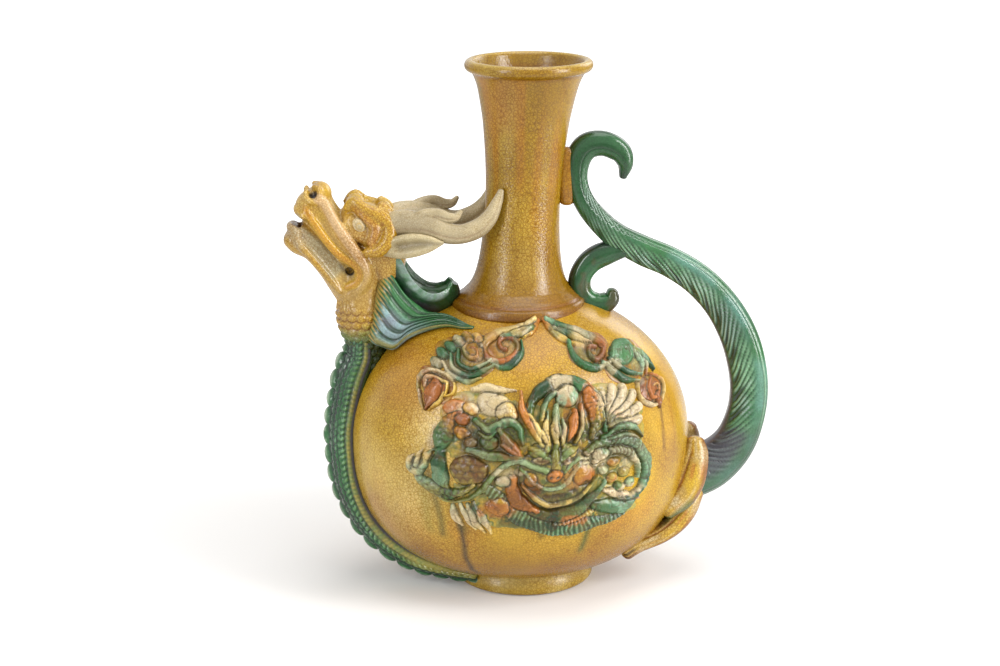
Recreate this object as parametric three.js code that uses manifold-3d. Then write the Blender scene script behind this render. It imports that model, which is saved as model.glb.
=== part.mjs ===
// Dragon ewer: a glazed stoneware pouring vessel whose spout is a dragon's head and whose handle is its tail.
// The pieces are those a potter makes one by one and lutes together with slip before firing: two press-moulded
// body halves, a thrown neck and foot ring, a hollow dragon neck and head, and the solid modelled trimmings.
// Millimetres, +Z up. The dragon looks towards -X, the tail handle is at +X and the front relief faces -Y.
import * as THREE from "three";
import Module from "manifold-3d";
import { mergeVertices } from "three/addons/utils/BufferGeometryUtils.js";

const wasm = await Module();
wasm.setup();

// Joints and walls
const slipGap = 0.3; // slip joint left between two luted pieces
const facetTolerance = 0.15;
const thinnest = 0.4; // least half width of a coil's section
const bodyWall = 5;
const neckWall = 4;

// Body: an upper and a lower superellipse that meet at the widest level
const bodyHalfWidth = 96.5;
const bodyHalfDepth = 81;
const bodyOffset = -2.5; // the body leans this far off the foot's axis
const waistHeight = 88;
const shoulderHeight = 163.5;
const shoulderRadius = 36;
const bellyFoot = 9;
const bellyFootRadius = 38;
const upperFullness = 2.0;
const lowerFullness = 2.5;
const bodySegments = 28;
const cavitySegments = 16;
const footSegments = 24;

// Neck
const rimHeight = 300;
const rimRadius = 35.3;
const rimLip = 6.5;
const neckWaistRadius = 20.9;
const neckFootOffset = -3.6;
const neckLean = 0.042; // sideways run of the neck's axis for each unit of height
const collarRadius = 37.5;
const collarHeight = 4.2;
const collarSkirt = 12; // the collar reaches this far down into the shoulder before it is cut to it
const neckSegments = 20;

// Foot ring
const footRadius = 40;
const footWidth = 7.5;
const footHeight = 20;
const footEdge = 2;

// Dragon head
const headLength = 50; // from the corner of the jaws to the end of the muzzle
const headRise = 22.9; // the corner of the jaws over the shoulder
const headInset = 0.7; // and inside the body's widest reach
const headPitch = THREE.MathUtils.degToRad(52.3);
const spoutBore = 5;
const mouthGap = 6.6;
const mouthHalfWidth = 7;
const mouthFlare = 1.5;
const cheekHole = 2.7;

// Dragon neck, mane and horns
const hornSpread = 19.5;
const earSpread = 17.5;
const maneThickness = 1.9;
const maneRise = 13.5; // this far below the shoulder the lower lock turns up against the dragon's neck
const maneTurn = 6;

// Dragon trunk along the side of the body
const trunkHeight = 14;
const trunkHalfWidth = 13;
const crestBead = 4.4;
const crestWaist = 2.6;
const crestSink = 1;
const crestPitch = 7.6;

// Tail handle
const tailDepth = 7.5;
const bridgeDepth = 5;

// Relief
const reliefRise = 4.8;
const scrollRise = 4;
const groundRise = 1.6;
const scrollMiddle = 2.1; // in hundredths of the body's half width
const reliefTurn = THREE.MathUtils.degToRad(8); // the moulded relief sits a little off the front's middle

const upperReach = (shoulderHeight - waistHeight)
  / Math.pow(1 - Math.pow(shoulderRadius / bodyHalfWidth, upperFullness), 1 / upperFullness);
const lowerReach = (waistHeight - bellyFoot)
  / Math.pow(1 - Math.pow(bellyFootRadius / bodyHalfWidth, lowerFullness), 1 / lowerFullness);
const flattening = bodyHalfDepth / bodyHalfWidth;

// Units of the sculpted drawings, so that each piece grows with what carries it
const headUnit = headLength / 100;
const bodyUnit = bodyHalfWidth / 100;
const shoulderUnit = shoulderHeight / 100;
const waistUnit = waistHeight / 100;
const reliefUnit = (shoulderHeight - waistHeight) / 100;

const glaze = {
  amber: [0xc08a1e, 0.18],
  straw: [0xcfae62, 0.2],
  cream: [0xcdbf9a, 0.3],
  green: [0x1f6b35, 0.15],
  olive: [0x6f7a2c, 0.2],
};

const sideways = new THREE.Vector3(0, 1, 0);

// Solids

function solid(geometry) {
  const bare = geometry.index ? geometry.toNonIndexed() : geometry.clone();
  for (const name of Object.keys(bare.attributes)) {
    if (name !== "position") bare.deleteAttribute(name);
  }
  const merged = mergeVertices(bare, 1e-4);
  const index = merged.index.array;
  const corners = [];
  for (let i = 0; i < index.length; i += 3) {
    const [a, b, c] = [index[i], index[i + 1], index[i + 2]];
    if (a !== b && b !== c && c !== a) corners.push(a, b, c);
  }
  const build = (triVerts) => new wasm.Manifold(new wasm.Mesh({
    numProp: 3,
    vertProperties: Float32Array.from(merged.attributes.position.array),
    triVerts: Uint32Array.from(triVerts),
  }));
  const made = build(corners);
  if (made.volume() > 0) return made;
  return build(corners.reverse());
}

function meshGeometry(piece) {
  const mesh = piece.getMesh();
  const position = new Float32Array(mesh.numVert * 3);
  for (let i = 0; i < mesh.numVert; i++) {
    position.set(mesh.vertProperties.subarray(i * mesh.numProp, i * mesh.numProp + 3), i * 3);
  }
  const geometry = new THREE.BufferGeometry();
  geometry.setAttribute("position", new THREE.BufferAttribute(position, 3));
  geometry.setIndex(new THREE.BufferAttribute(mesh.triVerts, 1));
  const faceted = geometry.toNonIndexed();
  faceted.computeVertexNormals();
  return faceted;
}

const join = (pieces) => pieces.reduce((whole, piece) => whole.add(piece));
const cut = (piece, ...cutters) => cutters.reduce((rest, cutter) => rest.subtract(cutter), piece);

// The largest body of a cut piece, without the crumbs that a boolean leaves.
function largest(piece) {
  return piece.decompose().sort((a, b) => b.volume() - a.volume())[0];
}

function box(low, high) {
  const size = new THREE.Vector3().subVectors(high, low);
  const middle = new THREE.Vector3().addVectors(low, high).multiplyScalar(0.5);
  return solid(new THREE.BoxGeometry(size.x, size.y, size.z).translate(middle.x, middle.y, middle.z));
}

function revolve(points, segments) {
  const profile = points.map(([r, z]) => new THREE.Vector2(Math.max(r, 0), z));
  return new THREE.LatheGeometry(profile, segments).rotateX(Math.PI / 2);
}

// A closed skin over rings of equal count, with a point at each end.
function skin(rings, startPoint, endPoint) {
  const sides = rings[0].length;
  const points = [startPoint, ...rings.flat(), endPoint];
  const index = [];
  const at = (ring, side) => 1 + ring * sides + (side % sides);
  for (let s = 0; s < sides; s++) {
    index.push(0, at(0, s + 1), at(0, s));
    index.push(points.length - 1, at(rings.length - 1, s), at(rings.length - 1, s + 1));
    for (let r = 0; r < rings.length - 1; r++) {
      index.push(at(r, s), at(r, s + 1), at(r + 1, s + 1));
      index.push(at(r, s), at(r + 1, s + 1), at(r + 1, s));
    }
  }
  const geometry = new THREE.BufferGeometry().setFromPoints(points);
  geometry.setIndex(index);
  return geometry;
}

// A coil of clay: an oval section carried along a smooth path through stations [x, y, z, across, deep].
// Across is measured in the plane of the bend, deep along the side direction. The ends are rounded.
function coil(stations, { sides = 12, spanSteps = 1, side = () => sideways, grow = 0, shape,
  domed = true } = {}) {
  const path = new THREE.CatmullRomCurve3(stations.map((s) => new THREE.Vector3(s[0], s[1], s[2])),
    false, "catmullrom", 0.5);
  const sizes = new THREE.CatmullRomCurve3(stations.map((s) => new THREE.Vector3(s[3], s[4], 0)),
    false, "catmullrom", 0.5);
  const count = (stations.length - 1) * spanSteps;
  const outline = shape ?? ((angle) => [Math.cos(angle), Math.sin(angle)]);
  const frames = [];
  for (let i = 0; i <= count; i++) {
    const centre = path.getPoint(i / count);
    const along = path.getTangent(i / count);
    const across = new THREE.Vector3().crossVectors(side(centre), along).normalize();
    const deep = new THREE.Vector3().crossVectors(along, across);
    const size = sizes.getPoint(i / count);
    frames.push({ centre, along, across, deep, a: Math.max(size.x, thinnest), d: Math.max(size.y, thinnest) });
  }
  const ring = (frame, shrink, advance) => Array.from({ length: sides }, (_, s) => {
    const angle = (2 * Math.PI * s) / sides;
    const [u, v] = outline(angle);
    return frame.centre.clone()
      .addScaledVector(frame.across, u * frame.a * shrink + grow * Math.cos(angle))
      .addScaledVector(frame.deep, v * frame.d * shrink + grow * Math.sin(angle))
      .addScaledVector(frame.along, advance);
  });
  const first = frames[0];
  const last = frames[count];
  const dome = (frame) => 0.7 * Math.min(frame.a, frame.d) + grow;
  const rings = frames.map((frame) => ring(frame, 1, 0));
  if (domed) {
    rings.unshift(ring(first, 0.7, -0.7 * dome(first)));
    rings.push(ring(last, 0.7, 0.7 * dome(last)));
  }
  return solid(skin(
    rings,
    first.centre.clone().addScaledVector(first.along, -dome(first)),
    last.centre.clone().addScaledVector(last.along, dome(last)),
  ));
}

function ball(centre, radii, turn = 0, detail = [12, 8]) {
  return solid(new THREE.SphereGeometry(1, ...detail).scale(radii.x, radii.y, radii.z)
    .rotateY(turn).translate(centre.x, centre.y, centre.z));
}

// Body

function bodyProfile(grow, steps) {
  const points = [];
  for (let i = 0; i <= steps; i++) {
    const angle = Math.PI * (i / steps - 0.5);
    const above = i * 2 >= steps;
    const fullness = above ? upperFullness : lowerFullness;
    const reach = above ? upperReach : lowerReach;
    const u = i === 0 || i === steps ? 0 : Math.pow(Math.cos(angle), 2 / fullness);
    const v = Math.sign(angle) * Math.pow(Math.abs(Math.sin(angle)), 2 / fullness);
    const slopeR = Math.pow(u, fullness - 1) / bodyHalfWidth;
    const slopeZ = Math.sign(v) * Math.pow(Math.abs(v), fullness - 1) / reach;
    const length = Math.hypot(slopeR, slopeZ);
    points.push([
      u * bodyHalfWidth + (grow * slopeR) / length,
      waistHeight + v * reach + (grow * slopeZ) / length,
    ]);
  }
  return points;
}

function bodyForm(grow, steps = 14, segments = bodySegments) {
  return solid(revolve(bodyProfile(grow, steps), segments)
    .scale(1, flattening, 1).translate(bodyOffset, 0, 0));
}

// Radius in X of the body's outside at a height.
function bodyReach(z) {
  const above = z >= waistHeight;
  const fullness = above ? upperFullness : lowerFullness;
  const share = Math.min(Math.abs(z - waistHeight) / (above ? upperReach : lowerReach), 0.999);
  return bodyHalfWidth * Math.pow(1 - Math.pow(share, fullness), 1 / fullness);
}

// X of the body's outline in the front view at a height: hand is -1 on the left and 1 on the right.
const outlineX = (hand, z, lift = 0) => bodyOffset + hand * (bodyReach(z) + lift);

// The body's outward direction at a point near its surface.
function bodyNormal(point) {
  const above = point.z >= waistHeight;
  const fullness = above ? upperFullness : lowerFullness;
  const reach = above ? upperReach : lowerReach;
  const round = new THREE.Vector2(point.x - bodyOffset, point.y / flattening);
  const rise = (point.z - waistHeight) / reach;
  const slope = Math.pow(round.length() / bodyHalfWidth, fullness - 1) / bodyHalfWidth;
  round.normalize().multiplyScalar(slope);
  return new THREE.Vector3(
    round.x,
    round.y / flattening,
    (Math.sign(rise) * Math.pow(Math.abs(rise), fullness - 1)) / reach,
  ).normalize();
}

// A point on the body seen square on from a turn about its axis, then lifted off along the surface's normal.
// Across is measured to the right in that view, and a turn of zero looks at the front.
function onBody(across, z, lift = 0, turn = 0) {
  const right = new THREE.Vector2(Math.cos(turn), Math.sin(turn));
  const toward = new THREE.Vector2(Math.sin(turn), -Math.cos(turn));
  const halfWidth = bodyReach(z) ** 2;
  const halfDepth = halfWidth * flattening ** 2;
  const a = toward.x ** 2 / halfWidth + toward.y ** 2 / halfDepth;
  const b = across * ((right.x * toward.x) / halfWidth + (right.y * toward.y) / halfDepth);
  const c = across ** 2 * (right.x ** 2 / halfWidth + right.y ** 2 / halfDepth) - 1;
  const reach = (Math.sqrt(Math.max(b * b - a * c, 0)) - b) / a;
  const point = new THREE.Vector3(
    bodyOffset + across * right.x + reach * toward.x, across * right.y + reach * toward.y, z);
  return point.addScaledVector(bodyNormal(point), lift);
}

// A point over the body's upper half, lifted off along the surface's normal.
function onShoulder(x, y, lift) {
  const share = Math.min(Math.hypot(x - bodyOffset, y / flattening) / bodyHalfWidth, 0.999);
  const z = waistHeight + upperReach * Math.pow(1 - Math.pow(share, upperFullness), 1 / upperFullness);
  const point = new THREE.Vector3(x, y, z);
  return point.addScaledVector(bodyNormal(point), lift);
}

const bodyCutter = bodyForm(slipGap);

// Neck, leaning with its axis

const neckAxis = (z) => neckFootOffset + (z - shoulderHeight) * neckLean;

// The neck's curve: [share of the height from the collar to the lip, share of the flare out from the waist].
// Below the waist the flare is the collar's, above it the mouth's.
const lowerFlare = [[0, 0.74], [0.05, 0.4], [0.13, 0.19], [0.24, 0.07], [0.43, 0]];
const upperFlare = [[0.59, 0.05], [0.77, 0.215], [0.93, 0.5]];

function neckOutside(grow) {
  const foot = shoulderHeight + collarHeight;
  const lipFoot = rimHeight - rimLip;
  const flared = (flare, width) => flare.map(([up, out]) =>
    [neckWaistRadius + out * (width - neckWaistRadius) + grow, foot + up * (lipFoot - foot)]);
  return [
    [collarRadius + grow, shoulderHeight - collarSkirt],
    [collarRadius + grow, foot - 0.75 * collarHeight],
    [collarRadius - 0.9 + grow, foot - 0.4 * collarHeight],
    ...flared(lowerFlare, collarRadius),
    ...flared(upperFlare, rimRadius),
    [rimRadius - 0.6 * rimLip + grow, lipFoot - 0.2 * rimLip],
    [rimRadius - 0.2 * rimLip + grow, lipFoot + 0.1 * rimLip],
    [rimRadius + grow, lipFoot + 0.5 * rimLip],
  ];
}

function leaned(geometry) {
  const lean = new THREE.Matrix4().set(
    1, 0, neckLean, neckAxis(0),
    0, 1, 0, 0,
    0, 0, 1, 0,
    0, 0, 0, 1,
  );
  return geometry.applyMatrix4(lean);
}

function neckForm(grow) {
  const outside = neckOutside(grow);
  const profile = [[0, outside[0][1]], ...outside, [rimRadius - rimLip / 2, rimHeight + grow],
    [0, rimHeight + grow]];
  return solid(leaned(revolve(profile, neckSegments)));
}

const neckBore = neckWaistRadius - neckWall;
const wellBore = neckBore + neckWall / 2;
const mouthBore = 0.68 * rimRadius;
const neckWaistHeight = (shoulderHeight + rimHeight) / 2;

function neckPiece() {
  const outside = neckOutside(0);
  const inside = [
    [rimRadius - 0.2 * rimLip, rimHeight - 0.15 * rimLip],
    [rimRadius - 0.5 * rimLip, rimHeight],
    [rimRadius - 0.85 * rimLip, rimHeight - 0.15 * rimLip],
    [mouthBore, rimHeight - 2.5 * rimLip],
    [neckBore, neckWaistHeight],
    [wellBore, shoulderHeight + 3 * collarHeight],
    [wellBore, shoulderHeight - collarSkirt],
  ];
  const profile = [...outside, ...inside, outside[0]];
  return cut(solid(leaned(revolve(profile, neckSegments))), bodyCutter);
}

// Foot ring

function footForm(grow) {
  return revolve([
    [0, -grow],
    [footRadius - footEdge + grow, -grow],
    [footRadius + grow, footEdge],
    [footRadius - 0.6 + grow, 6],
    [footRadius - 1.6 + grow, footHeight],
    [0, footHeight],
  ], footSegments);
}

function footPiece() {
  const well = revolve([
    [0, -footEdge],
    [footRadius - footWidth + 1.4, -footEdge],
    [footRadius - footWidth + 1.4, 0],
    [footRadius - footWidth, footEdge],
    [footRadius - footWidth, footHeight + footEdge],
    [0, footHeight + footEdge],
  ], footSegments);
  return cut(solid(footForm(0)), solid(well), bodyCutter);
}

// Dragon neck: hollow, from the shoulder up to the back of the jaws. The head and what hangs on it are drawn in
// hundredths of the head's length, either in the head's own frame, along the jaws and across them towards the
// brow, or upright from the corner of the jaws.

const along = new THREE.Vector3(-Math.cos(headPitch), 0, Math.sin(headPitch));
const across = new THREE.Vector3(Math.sin(headPitch), 0, Math.cos(headPitch));
const jawCorner = new THREE.Vector3(outlineX(-1, waistHeight) + headInset, 0, shoulderHeight + headRise);
const inHead = (u, w, y = 0) => jawCorner.clone()
  .addScaledVector(along, u * headUnit).addScaledVector(across, w * headUnit).setY(y * headUnit);
const nearJaw = (x, z, y = 0) => [jawCorner.x + x * headUnit, y * headUnit, jawCorner.z + z * headUnit];
const sized = (a, d) => [a * headUnit, d * headUnit];
const headStation = (u, w, y, a, d) => [...inHead(u, w, y).toArray(), ...sized(a, d)];

// The vessel's left outline at a level, in hundredths of the shoulder's height, and a lift off it.
const onOutline = (level, lift) => {
  const z = level * shoulderUnit;
  return [outlineX(-1, z, lift * headUnit), 0, z];
};

function throatForm(grow) {
  return coil([
    [...onOutline(78.3, -20), ...sized(26, 28)],
    [...onOutline(87.5, 24), ...sized(31, 34)],
    [...nearJaw(13.6, -60.8), ...sized(27.6, 31)],
    [...nearJaw(11.6, -34.8), ...sized(26.4, 29)],
    [...nearJaw(13.6, -10.8), ...sized(26, 29)],
    [...nearJaw(18.6, 13.2), ...sized(25, 28)],
  ], { sides: 12, grow });
}

function spoutChannel() {
  return coil([
    [...onOutline(68.5, -88), spoutBore, spoutBore],
    [...onOutline(78.3, -28), spoutBore, spoutBore],
    [...onOutline(88.7, 32), spoutBore, spoutBore],
    [...nearJaw(12.6, -52.8), spoutBore, spoutBore],
    [...nearJaw(6.6, -24.8), spoutBore, spoutBore],
    [...inHead(8, -8).toArray(), mouthGap / 2, mouthHalfWidth],
    [...inHead(44, -11).toArray(), mouthGap / 2, mouthHalfWidth],
    [...inHead(76, -14).toArray(), mouthGap / 2, mouthHalfWidth],
    [...inHead(104, -15).toArray(), mouthGap / 2 + mouthFlare, mouthHalfWidth + mouthFlare],
  ], { sides: 8 });
}

// The jaws are square-cheeked rather than round in section.
const squareCheek = (angle) => [Math.cos(angle), Math.sin(angle)]
  .map((value) => Math.sign(value) * Math.pow(Math.abs(value), 0.72));

// Head: muzzle, cheek and skull in one modelled piece

const headBall = (x, y, z, grow) =>
  new THREE.Vector3(x * headUnit + grow, y * headUnit + grow, z * headUnit + grow);

function headForm(grow) {
  const muzzle = coil([
    headStation(-20, 4, 0, 18, 27),
    headStation(0, 9, 0, 19.2, 28),
    headStation(24, 10.8, 0, 20, 26),
    headStation(48, 11.2, 0, 20.8, 22.8),
    headStation(68, 12, 0, 21.2, 21.2),
    headStation(82, 16, 0, 20.4, 19.6),
  ], { sides: 12, grow, shape: squareCheek });
  const snout = ball(inHead(83.2, 28), headBall(12.8, 17.6, 14, grow), 0, [10, 6]);
  const skull = coil([
    headStation(-32, 28, 0, 20, 24),
    headStation(-12, 40, 0, 28, 30),
    headStation(12, 48, 0, 29.2, 31),
    headStation(32, 44, 0, 23, 27),
    headStation(44, 38, 0, 16, 21),
  ], { sides: 12, grow });
  return join([muzzle, snout, skull]);
}

function browForm(face, grow) {
  return coil([
    headStation(53, 42, face * 16, 6.8, 6.8),
    headStation(52, 52.8, face * 19, 8, 8.4),
    headStation(38, 57.2, face * 23, 9.2, 9.2),
    headStation(25, 64, face * 25, 10, 9.6),
    headStation(10, 66, face * 26, 10, 9.2),
    headStation(-1, 54.8, face * 30, 9.2, 8),
    headStation(-3, 38, face * 32, 8, 6.8),
    headStation(4.8, 26.8, face * 31.2, 6, 5.6),
  ], { sides: 8, grow });
}

function eyeForm(face, grow) {
  return ball(inHead(30.4, 39.2, face * 26.8), headBall(9.2, 7.2, 10.8, grow), headPitch, [12, 8]);
}

function jawForm(grow) {
  return coil([
    headStation(-32, -17, 0, 19.2, 24),
    headStation(-10, -18, 0, 17.2, 24.8),
    headStation(14, -19.6, 0, 13.6, 23.6),
    headStation(38, -21.2, 0, 13.6, 22),
    headStation(54, -26.8, 0, 14.8, 21.2),
    headStation(64, -30, 0, 13.2, 19.2),
  ], { sides: 12, grow, shape: squareCheek });
}

function cheekDrill() {
  const drill = new THREE.CylinderGeometry(cheekHole, cheekHole, 60, 10);
  return solid(drill.translate(jawCorner.x, 0, jawCorner.z));
}

// Horns, ears and mane, each made for one side

function hornForm(face, grow) {
  const y = (face * hornSpread) / headUnit;
  const beam = coil([
    [...nearJaw(40.6, 45.2, face * 19), ...sized(15, 11.2)],
    [...nearJaw(60.6, 50.2, face * 24), ...sized(15.2, 11.6)],
    [...nearJaw(84.6, 49.2, face * 32), ...sized(14.4, 10.8)],
    [...nearJaw(106.6, 42.2, face * 37.6), ...sized(12, 10)],
    [...nearJaw(124.6, 40.4, y), ...sized(10.8, 9.2)],
    [...nearJaw(141.6, 46.4, y), ...sized(10.4, 8.4)],
    [...nearJaw(155, 59.2, y), ...sized(8.8, 7.2)],
    [...nearJaw(163, 75.2, y - face * 0.8), ...sized(6, 5.6)],
    [...nearJaw(167.4, 88.4, y - face * 1.6), ...sized(3.4, 3.4)],
  ], { sides: 8, grow });
  const prong = coil([
    [...nearJaw(76.6, 56.2, face * 31), ...sized(7.6, 7.2)],
    [...nearJaw(92.6, 61.6, face * 35), ...sized(7.2, 6.4)],
    [...nearJaw(106.6, 59.2, face * 37.2), ...sized(6, 5.6)],
    [...nearJaw(116.6, 59.6, y), ...sized(5.2, 4.8)],
    [...nearJaw(123.4, 66, y), ...sized(3, 3)],
  ], { sides: 6, grow });
  return join([beam, prong]);
}

function earForm(face, grow) {
  const y = (face * earSpread) / headUnit;
  return coil([
    [...nearJaw(40.6, 22, face * 29), ...sized(7.2, 4.4)],
    [...nearJaw(52.6, 25.2, y), ...sized(12.4, 4.4)],
    [...nearJaw(70.6, 29.2, y + face * 6), ...sized(12.8, 4)],
    [...nearJaw(88.6, 31.2, y + face * 10.8), ...sized(8, 3.4)],
    [...nearJaw(101.6, 32.4, y + face * 13), ...sized(2.4, 2.4)],
  ], { sides: 10, grow });
}

// A curled lock down the nape, hollow along its length like a gutter.
function napeManeForm(grow) {
  const gutter = (angle) => [Math.cos(angle) + 2.6 * Math.sin(angle) ** 2, Math.sin(angle)];
  return coil([
    [...nearJaw(34, 16), maneThickness, 24 * headUnit],
    [...nearJaw(45, -7), maneThickness, 27 * headUnit],
    [...nearJaw(60, -28), maneThickness, 29 * headUnit],
    [...nearJaw(79, -42.8), maneThickness, 29 * headUnit],
    [...nearJaw(98, -45.2), maneThickness, 26 * headUnit],
    [...nearJaw(110.8, -36), maneThickness, 20 * headUnit],
  ], { sides: 16, grow, shape: gutter });
}

function lowerManeForm(face, grow) {
  const lying = (x, y, lift, width) => [
    ...onShoulder(bodyOffset + x * bodyUnit, face * y * bodyUnit, lift * maneThickness).toArray(),
    width * bodyUnit,
    maneThickness,
  ];
  const turning = (point) => bodyNormal(point)
    .add(new THREE.Vector3(0, face * Math.max(0, point.z - shoulderHeight + maneRise) / maneTurn, 0)).normalize();
  return coil([
    [...nearJaw(18, -24, face * 28), 10 * headUnit, maneThickness],
    [...nearJaw(31, -48, face * 33), 18 * headUnit, maneThickness],
    lying(-73, 16, 1.8, 9.8),
    lying(-62.7, 15, 1.3, 8.9),
    lying(-51.3, 17.6, 1.2, 8.3),
    lying(-40.9, 23.3, 1.1, 6.2),
    lying(-34.2, 30.6, 1, 3.5),
    lying(-30.1, 35.8, 0.7, 1.5),
  ], { sides: 10, grow, side: turning });
}

// Trunk: the scaly body that lies down the side of the vessel, with a beaded crest

// Levels from the dragon's chest down to the foot ring: [hundredths of the shoulder's height, sideways shift,
// width, rise, stand-off from the body]. The shift, width and stand-off are shares of the trunk's half width.
const trunkLevels = [
  [93, 0, 1, 0.8, 2.08],
  [87.5, 0, 1, 0.92, 1.23],
  [82, 0, 1, 1, 0.54],
  [74.6, 0, 1, 1.12, 0.19],
  [65.4, 0, 1, 1.06, 0],
  [55.7, 0, 1, 1, 0],
  [45.9, 0, 1, 1, 0],
  [36.7, 0, 1, 1, 0],
  [28.1, -0.06, 0.98, 0.96, 0],
  [20.8, -0.18, 0.94, 0.92, 0],
  [14.7, -0.42, 0.84, 0.84, 0],
  [9.8, -0.85, 0.66, 0.7, 0],
  [6.7, -1.38, 0.48, 0.46, 0],
  [5.7, -1.92, 0.34, 0.3, 0],
];

function trunkStations() {
  return trunkLevels.map(([level, shift, width, rise, standOff]) => {
    const z = level * shoulderUnit;
    const y = shift * trunkHalfWidth;
    const reach = bodyReach(z);
    const inside = Math.sqrt(reach * reach - (y / flattening) ** 2);
    return [bodyOffset - inside - standOff * trunkHalfWidth, y, z, trunkHeight * rise, trunkHalfWidth * width];
  });
}

// The section's ribs: a crest, a channel, the scale rib and the corded border on each flank.
function trunkSection(angle) {
  const flank = Math.sin(angle);
  const outward = Math.cos(angle);
  const rib = 1 + 0.06 * Math.cos(6 * Math.asin(flank));
  return outward < 0 ? [0.8 * outward, flank] : [Math.pow(outward, 0.8) * rib, flank];
}

function trunkForm(grow) {
  return coil(trunkStations(), { sides: 16, grow, shape: trunkSection });
}

// The crest is a beaded cord: it swells and narrows once for each bead, and shrinks towards the foot.
function crestForm() {
  const route = trunkStations().slice(0, -3);
  const curve = (pick) => new THREE.CatmullRomCurve3(route.map((s) => new THREE.Vector3(...pick(s))),
    false, "catmullrom", 0.5);
  const path = curve(([x, y, z]) => [x, y, z]);
  const rises = curve(([, , , rise]) => [rise, 0, 0]);
  const beads = Math.floor(path.getLength() / crestPitch);
  const stations = Array.from({ length: 2 * beads + 1 }, (_, i) => {
    const t = path.getUtoTmapping(i / (2 * beads));
    const out = new THREE.Vector3().crossVectors(sideways, path.getTangent(t)).normalize();
    const centre = path.getPoint(t).addScaledVector(out, rises.getPoint(t).x - crestSink);
    const size = (i % 2 ? crestBead : crestWaist) * (1 - (0.3 * i) / (2 * beads));
    return [...centre.toArray(), size, size];
  });
  return coil(stations, { sides: 5 });
}

// Tail handle, its lower curl and the pad that ties it to the neck

// The tail is drawn in hundredths of the span from the neck's side to the body's widest reach, up from the
// shoulder. Its depth is given in shares of the tail's.
const neckSide = neckAxis(shoulderHeight) + neckWaistRadius;
const tailUnit = (outlineX(1, waistHeight) - neckSide) / 100;
const tailLevel = (up) => shoulderHeight + up * tailUnit;
const tailStation = (out, up, width, depth) =>
  [neckSide + out * tailUnit, 0, tailLevel(up), width * tailUnit, depth * tailDepth];
const rootStation = (level, lift, width, depth) => [outlineX(1, level * waistUnit, lift * tailUnit), 0,
  level * waistUnit, width * tailUnit, depth * tailDepth];

function tailForm(grow) {
  return coil([
    tailStation(49.2, 91.9, 2.9, 0.45),
    tailStation(50.5, 101.6, 6, 0.8),
    tailStation(46, 110.7, 8.3, 0.8),
    tailStation(34.2, 116.2, 9.1, 0.8),
    tailStation(22.3, 114.1, 9.6, 0.8),
    tailStation(16, 104.2, 9.1, 0.8),
    tailStation(15.8, 89.3, 7.6, 0.8),
    tailStation(20.5, 74.4, 7.8, 0.85),
    tailStation(30.9, 60.4, 8.6, 0.91),
    tailStation(45.2, 47.3, 9.6, 1),
    tailStation(64.8, 36.4, 11, 1),
    tailStation(85.1, 27.2, 11.2, 1),
    tailStation(105.2, 14.2, 12, 1),
    tailStation(122.2, -3.3, 12.8, 1.04),
    tailStation(134.7, -23.3, 13.8, 1.07),
    tailStation(142.8, -45, 14.3, 1.09),
    tailStation(146.7, -69.8, 14.3, 1.15),
    tailStation(144.3, -93.2, 14.6, 1.2),
    tailStation(135.5, -114.9, 15.9, 1.33),
    rootStation(72.3, 20.9, 18.8, 1.6),
    rootStation(68.2, 0, 22.8, 1.93),
    rootStation(68.2, -18.3, 22.2, 1.87),
  ], { sides: 12, grow });
}

function lowerCurlForm(grow) {
  return coil([
    tailStation(54.4, 35.3, 7, 0.8),
    tailStation(38.7, 35.1, 8.6, 0.8),
    tailStation(26.2, 28.8, 8.9, 0.8),
    tailStation(18.9, 18.1, 8.3, 0.8),
    tailStation(18.6, 6.6, 8.6, 0.8),
    tailStation(24.4, -1.4, 8.9, 0.8),
    tailStation(33.5, -3.8, 8.3, 0.8),
    tailStation(41.3, 0.1, 6.5, 0.8),
    tailStation(42.6, 5.3, 4.2, 0.61),
  ], { sides: 10, grow });
}

function bridgeForm() {
  const x = neckSide + 8 * tailUnit;
  const station = (up, width) => [x, 0, tailLevel(up), width * tailUnit, bridgeDepth];
  return coil([station(76.3, 6), station(85.4, 7.3), station(101, 7.3), station(110.2, 6)], { sides: 10 });
}

// Hind legs folded against the body on both sides of the tail's root, in hundredths of the waist's height
const legStation = (level, lift, y, width, depth) => [outlineX(1, level * waistUnit, lift * waistUnit),
  y * waistUnit, level * waistUnit, width * waistUnit, depth * waistUnit];

function thighForm(face, grow) {
  return coil([
    legStation(90.9, 3.4, face * 14.8, 6.1, 5.7),
    legStation(80.7, 2.7, face * 17.6, 8.4, 7.3),
    legStation(68.2, 0.9, face * 20.5, 9.1, 7.7),
    legStation(58, -2.3, face * 23.3, 8.6, 7.3),
    legStation(52.3, -6.8, face * 26.7, 6.1, 5.9),
  ], { sides: 10, grow });
}

function hindFootForm(face, grow) {
  return coil([
    legStation(56.8, 9.1, face * 13.6, 6.8, 6.1),
    legStation(47.7, 5.7, face * 18.2, 6.8, 6.4),
    legStation(39.8, 2.3, face * 22.2, 6.1, 5.9),
    legStation(33.6, -1.6, face * 25.6, 5.5, 5.5),
    legStation(28.4, -8, face * 27.8, 4.8, 5.2),
    legStation(23.9, -9.1, face * 29.5, 3.6, 4.3),
  ], { sides: 10, grow });
}

// Relief: moulded sprigs laid over the body. Their drawings are in the view of a turn about the body's axis, in
// hundredths: across of the body's half width, and up from the waist of the way to the shoulder.

// A coil laid on the body through drawn points, thinner at both ends.
function laidCoil(points, width, rise, turn, lift = 1) {
  const last = points.length - 1;
  const stations = points.map(([across, up], i) => {
    const taper = i === 0 || i === last ? 0.7 : 1;
    const centre = onBody(across * bodyUnit, waistHeight + up * reliefUnit, lift, turn);
    return [...centre.toArray(), width * bodyUnit * taper, rise * taper];
  });
  return coil(stations, { sides: 4, side: bodyNormal, domed: false });
}

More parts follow.
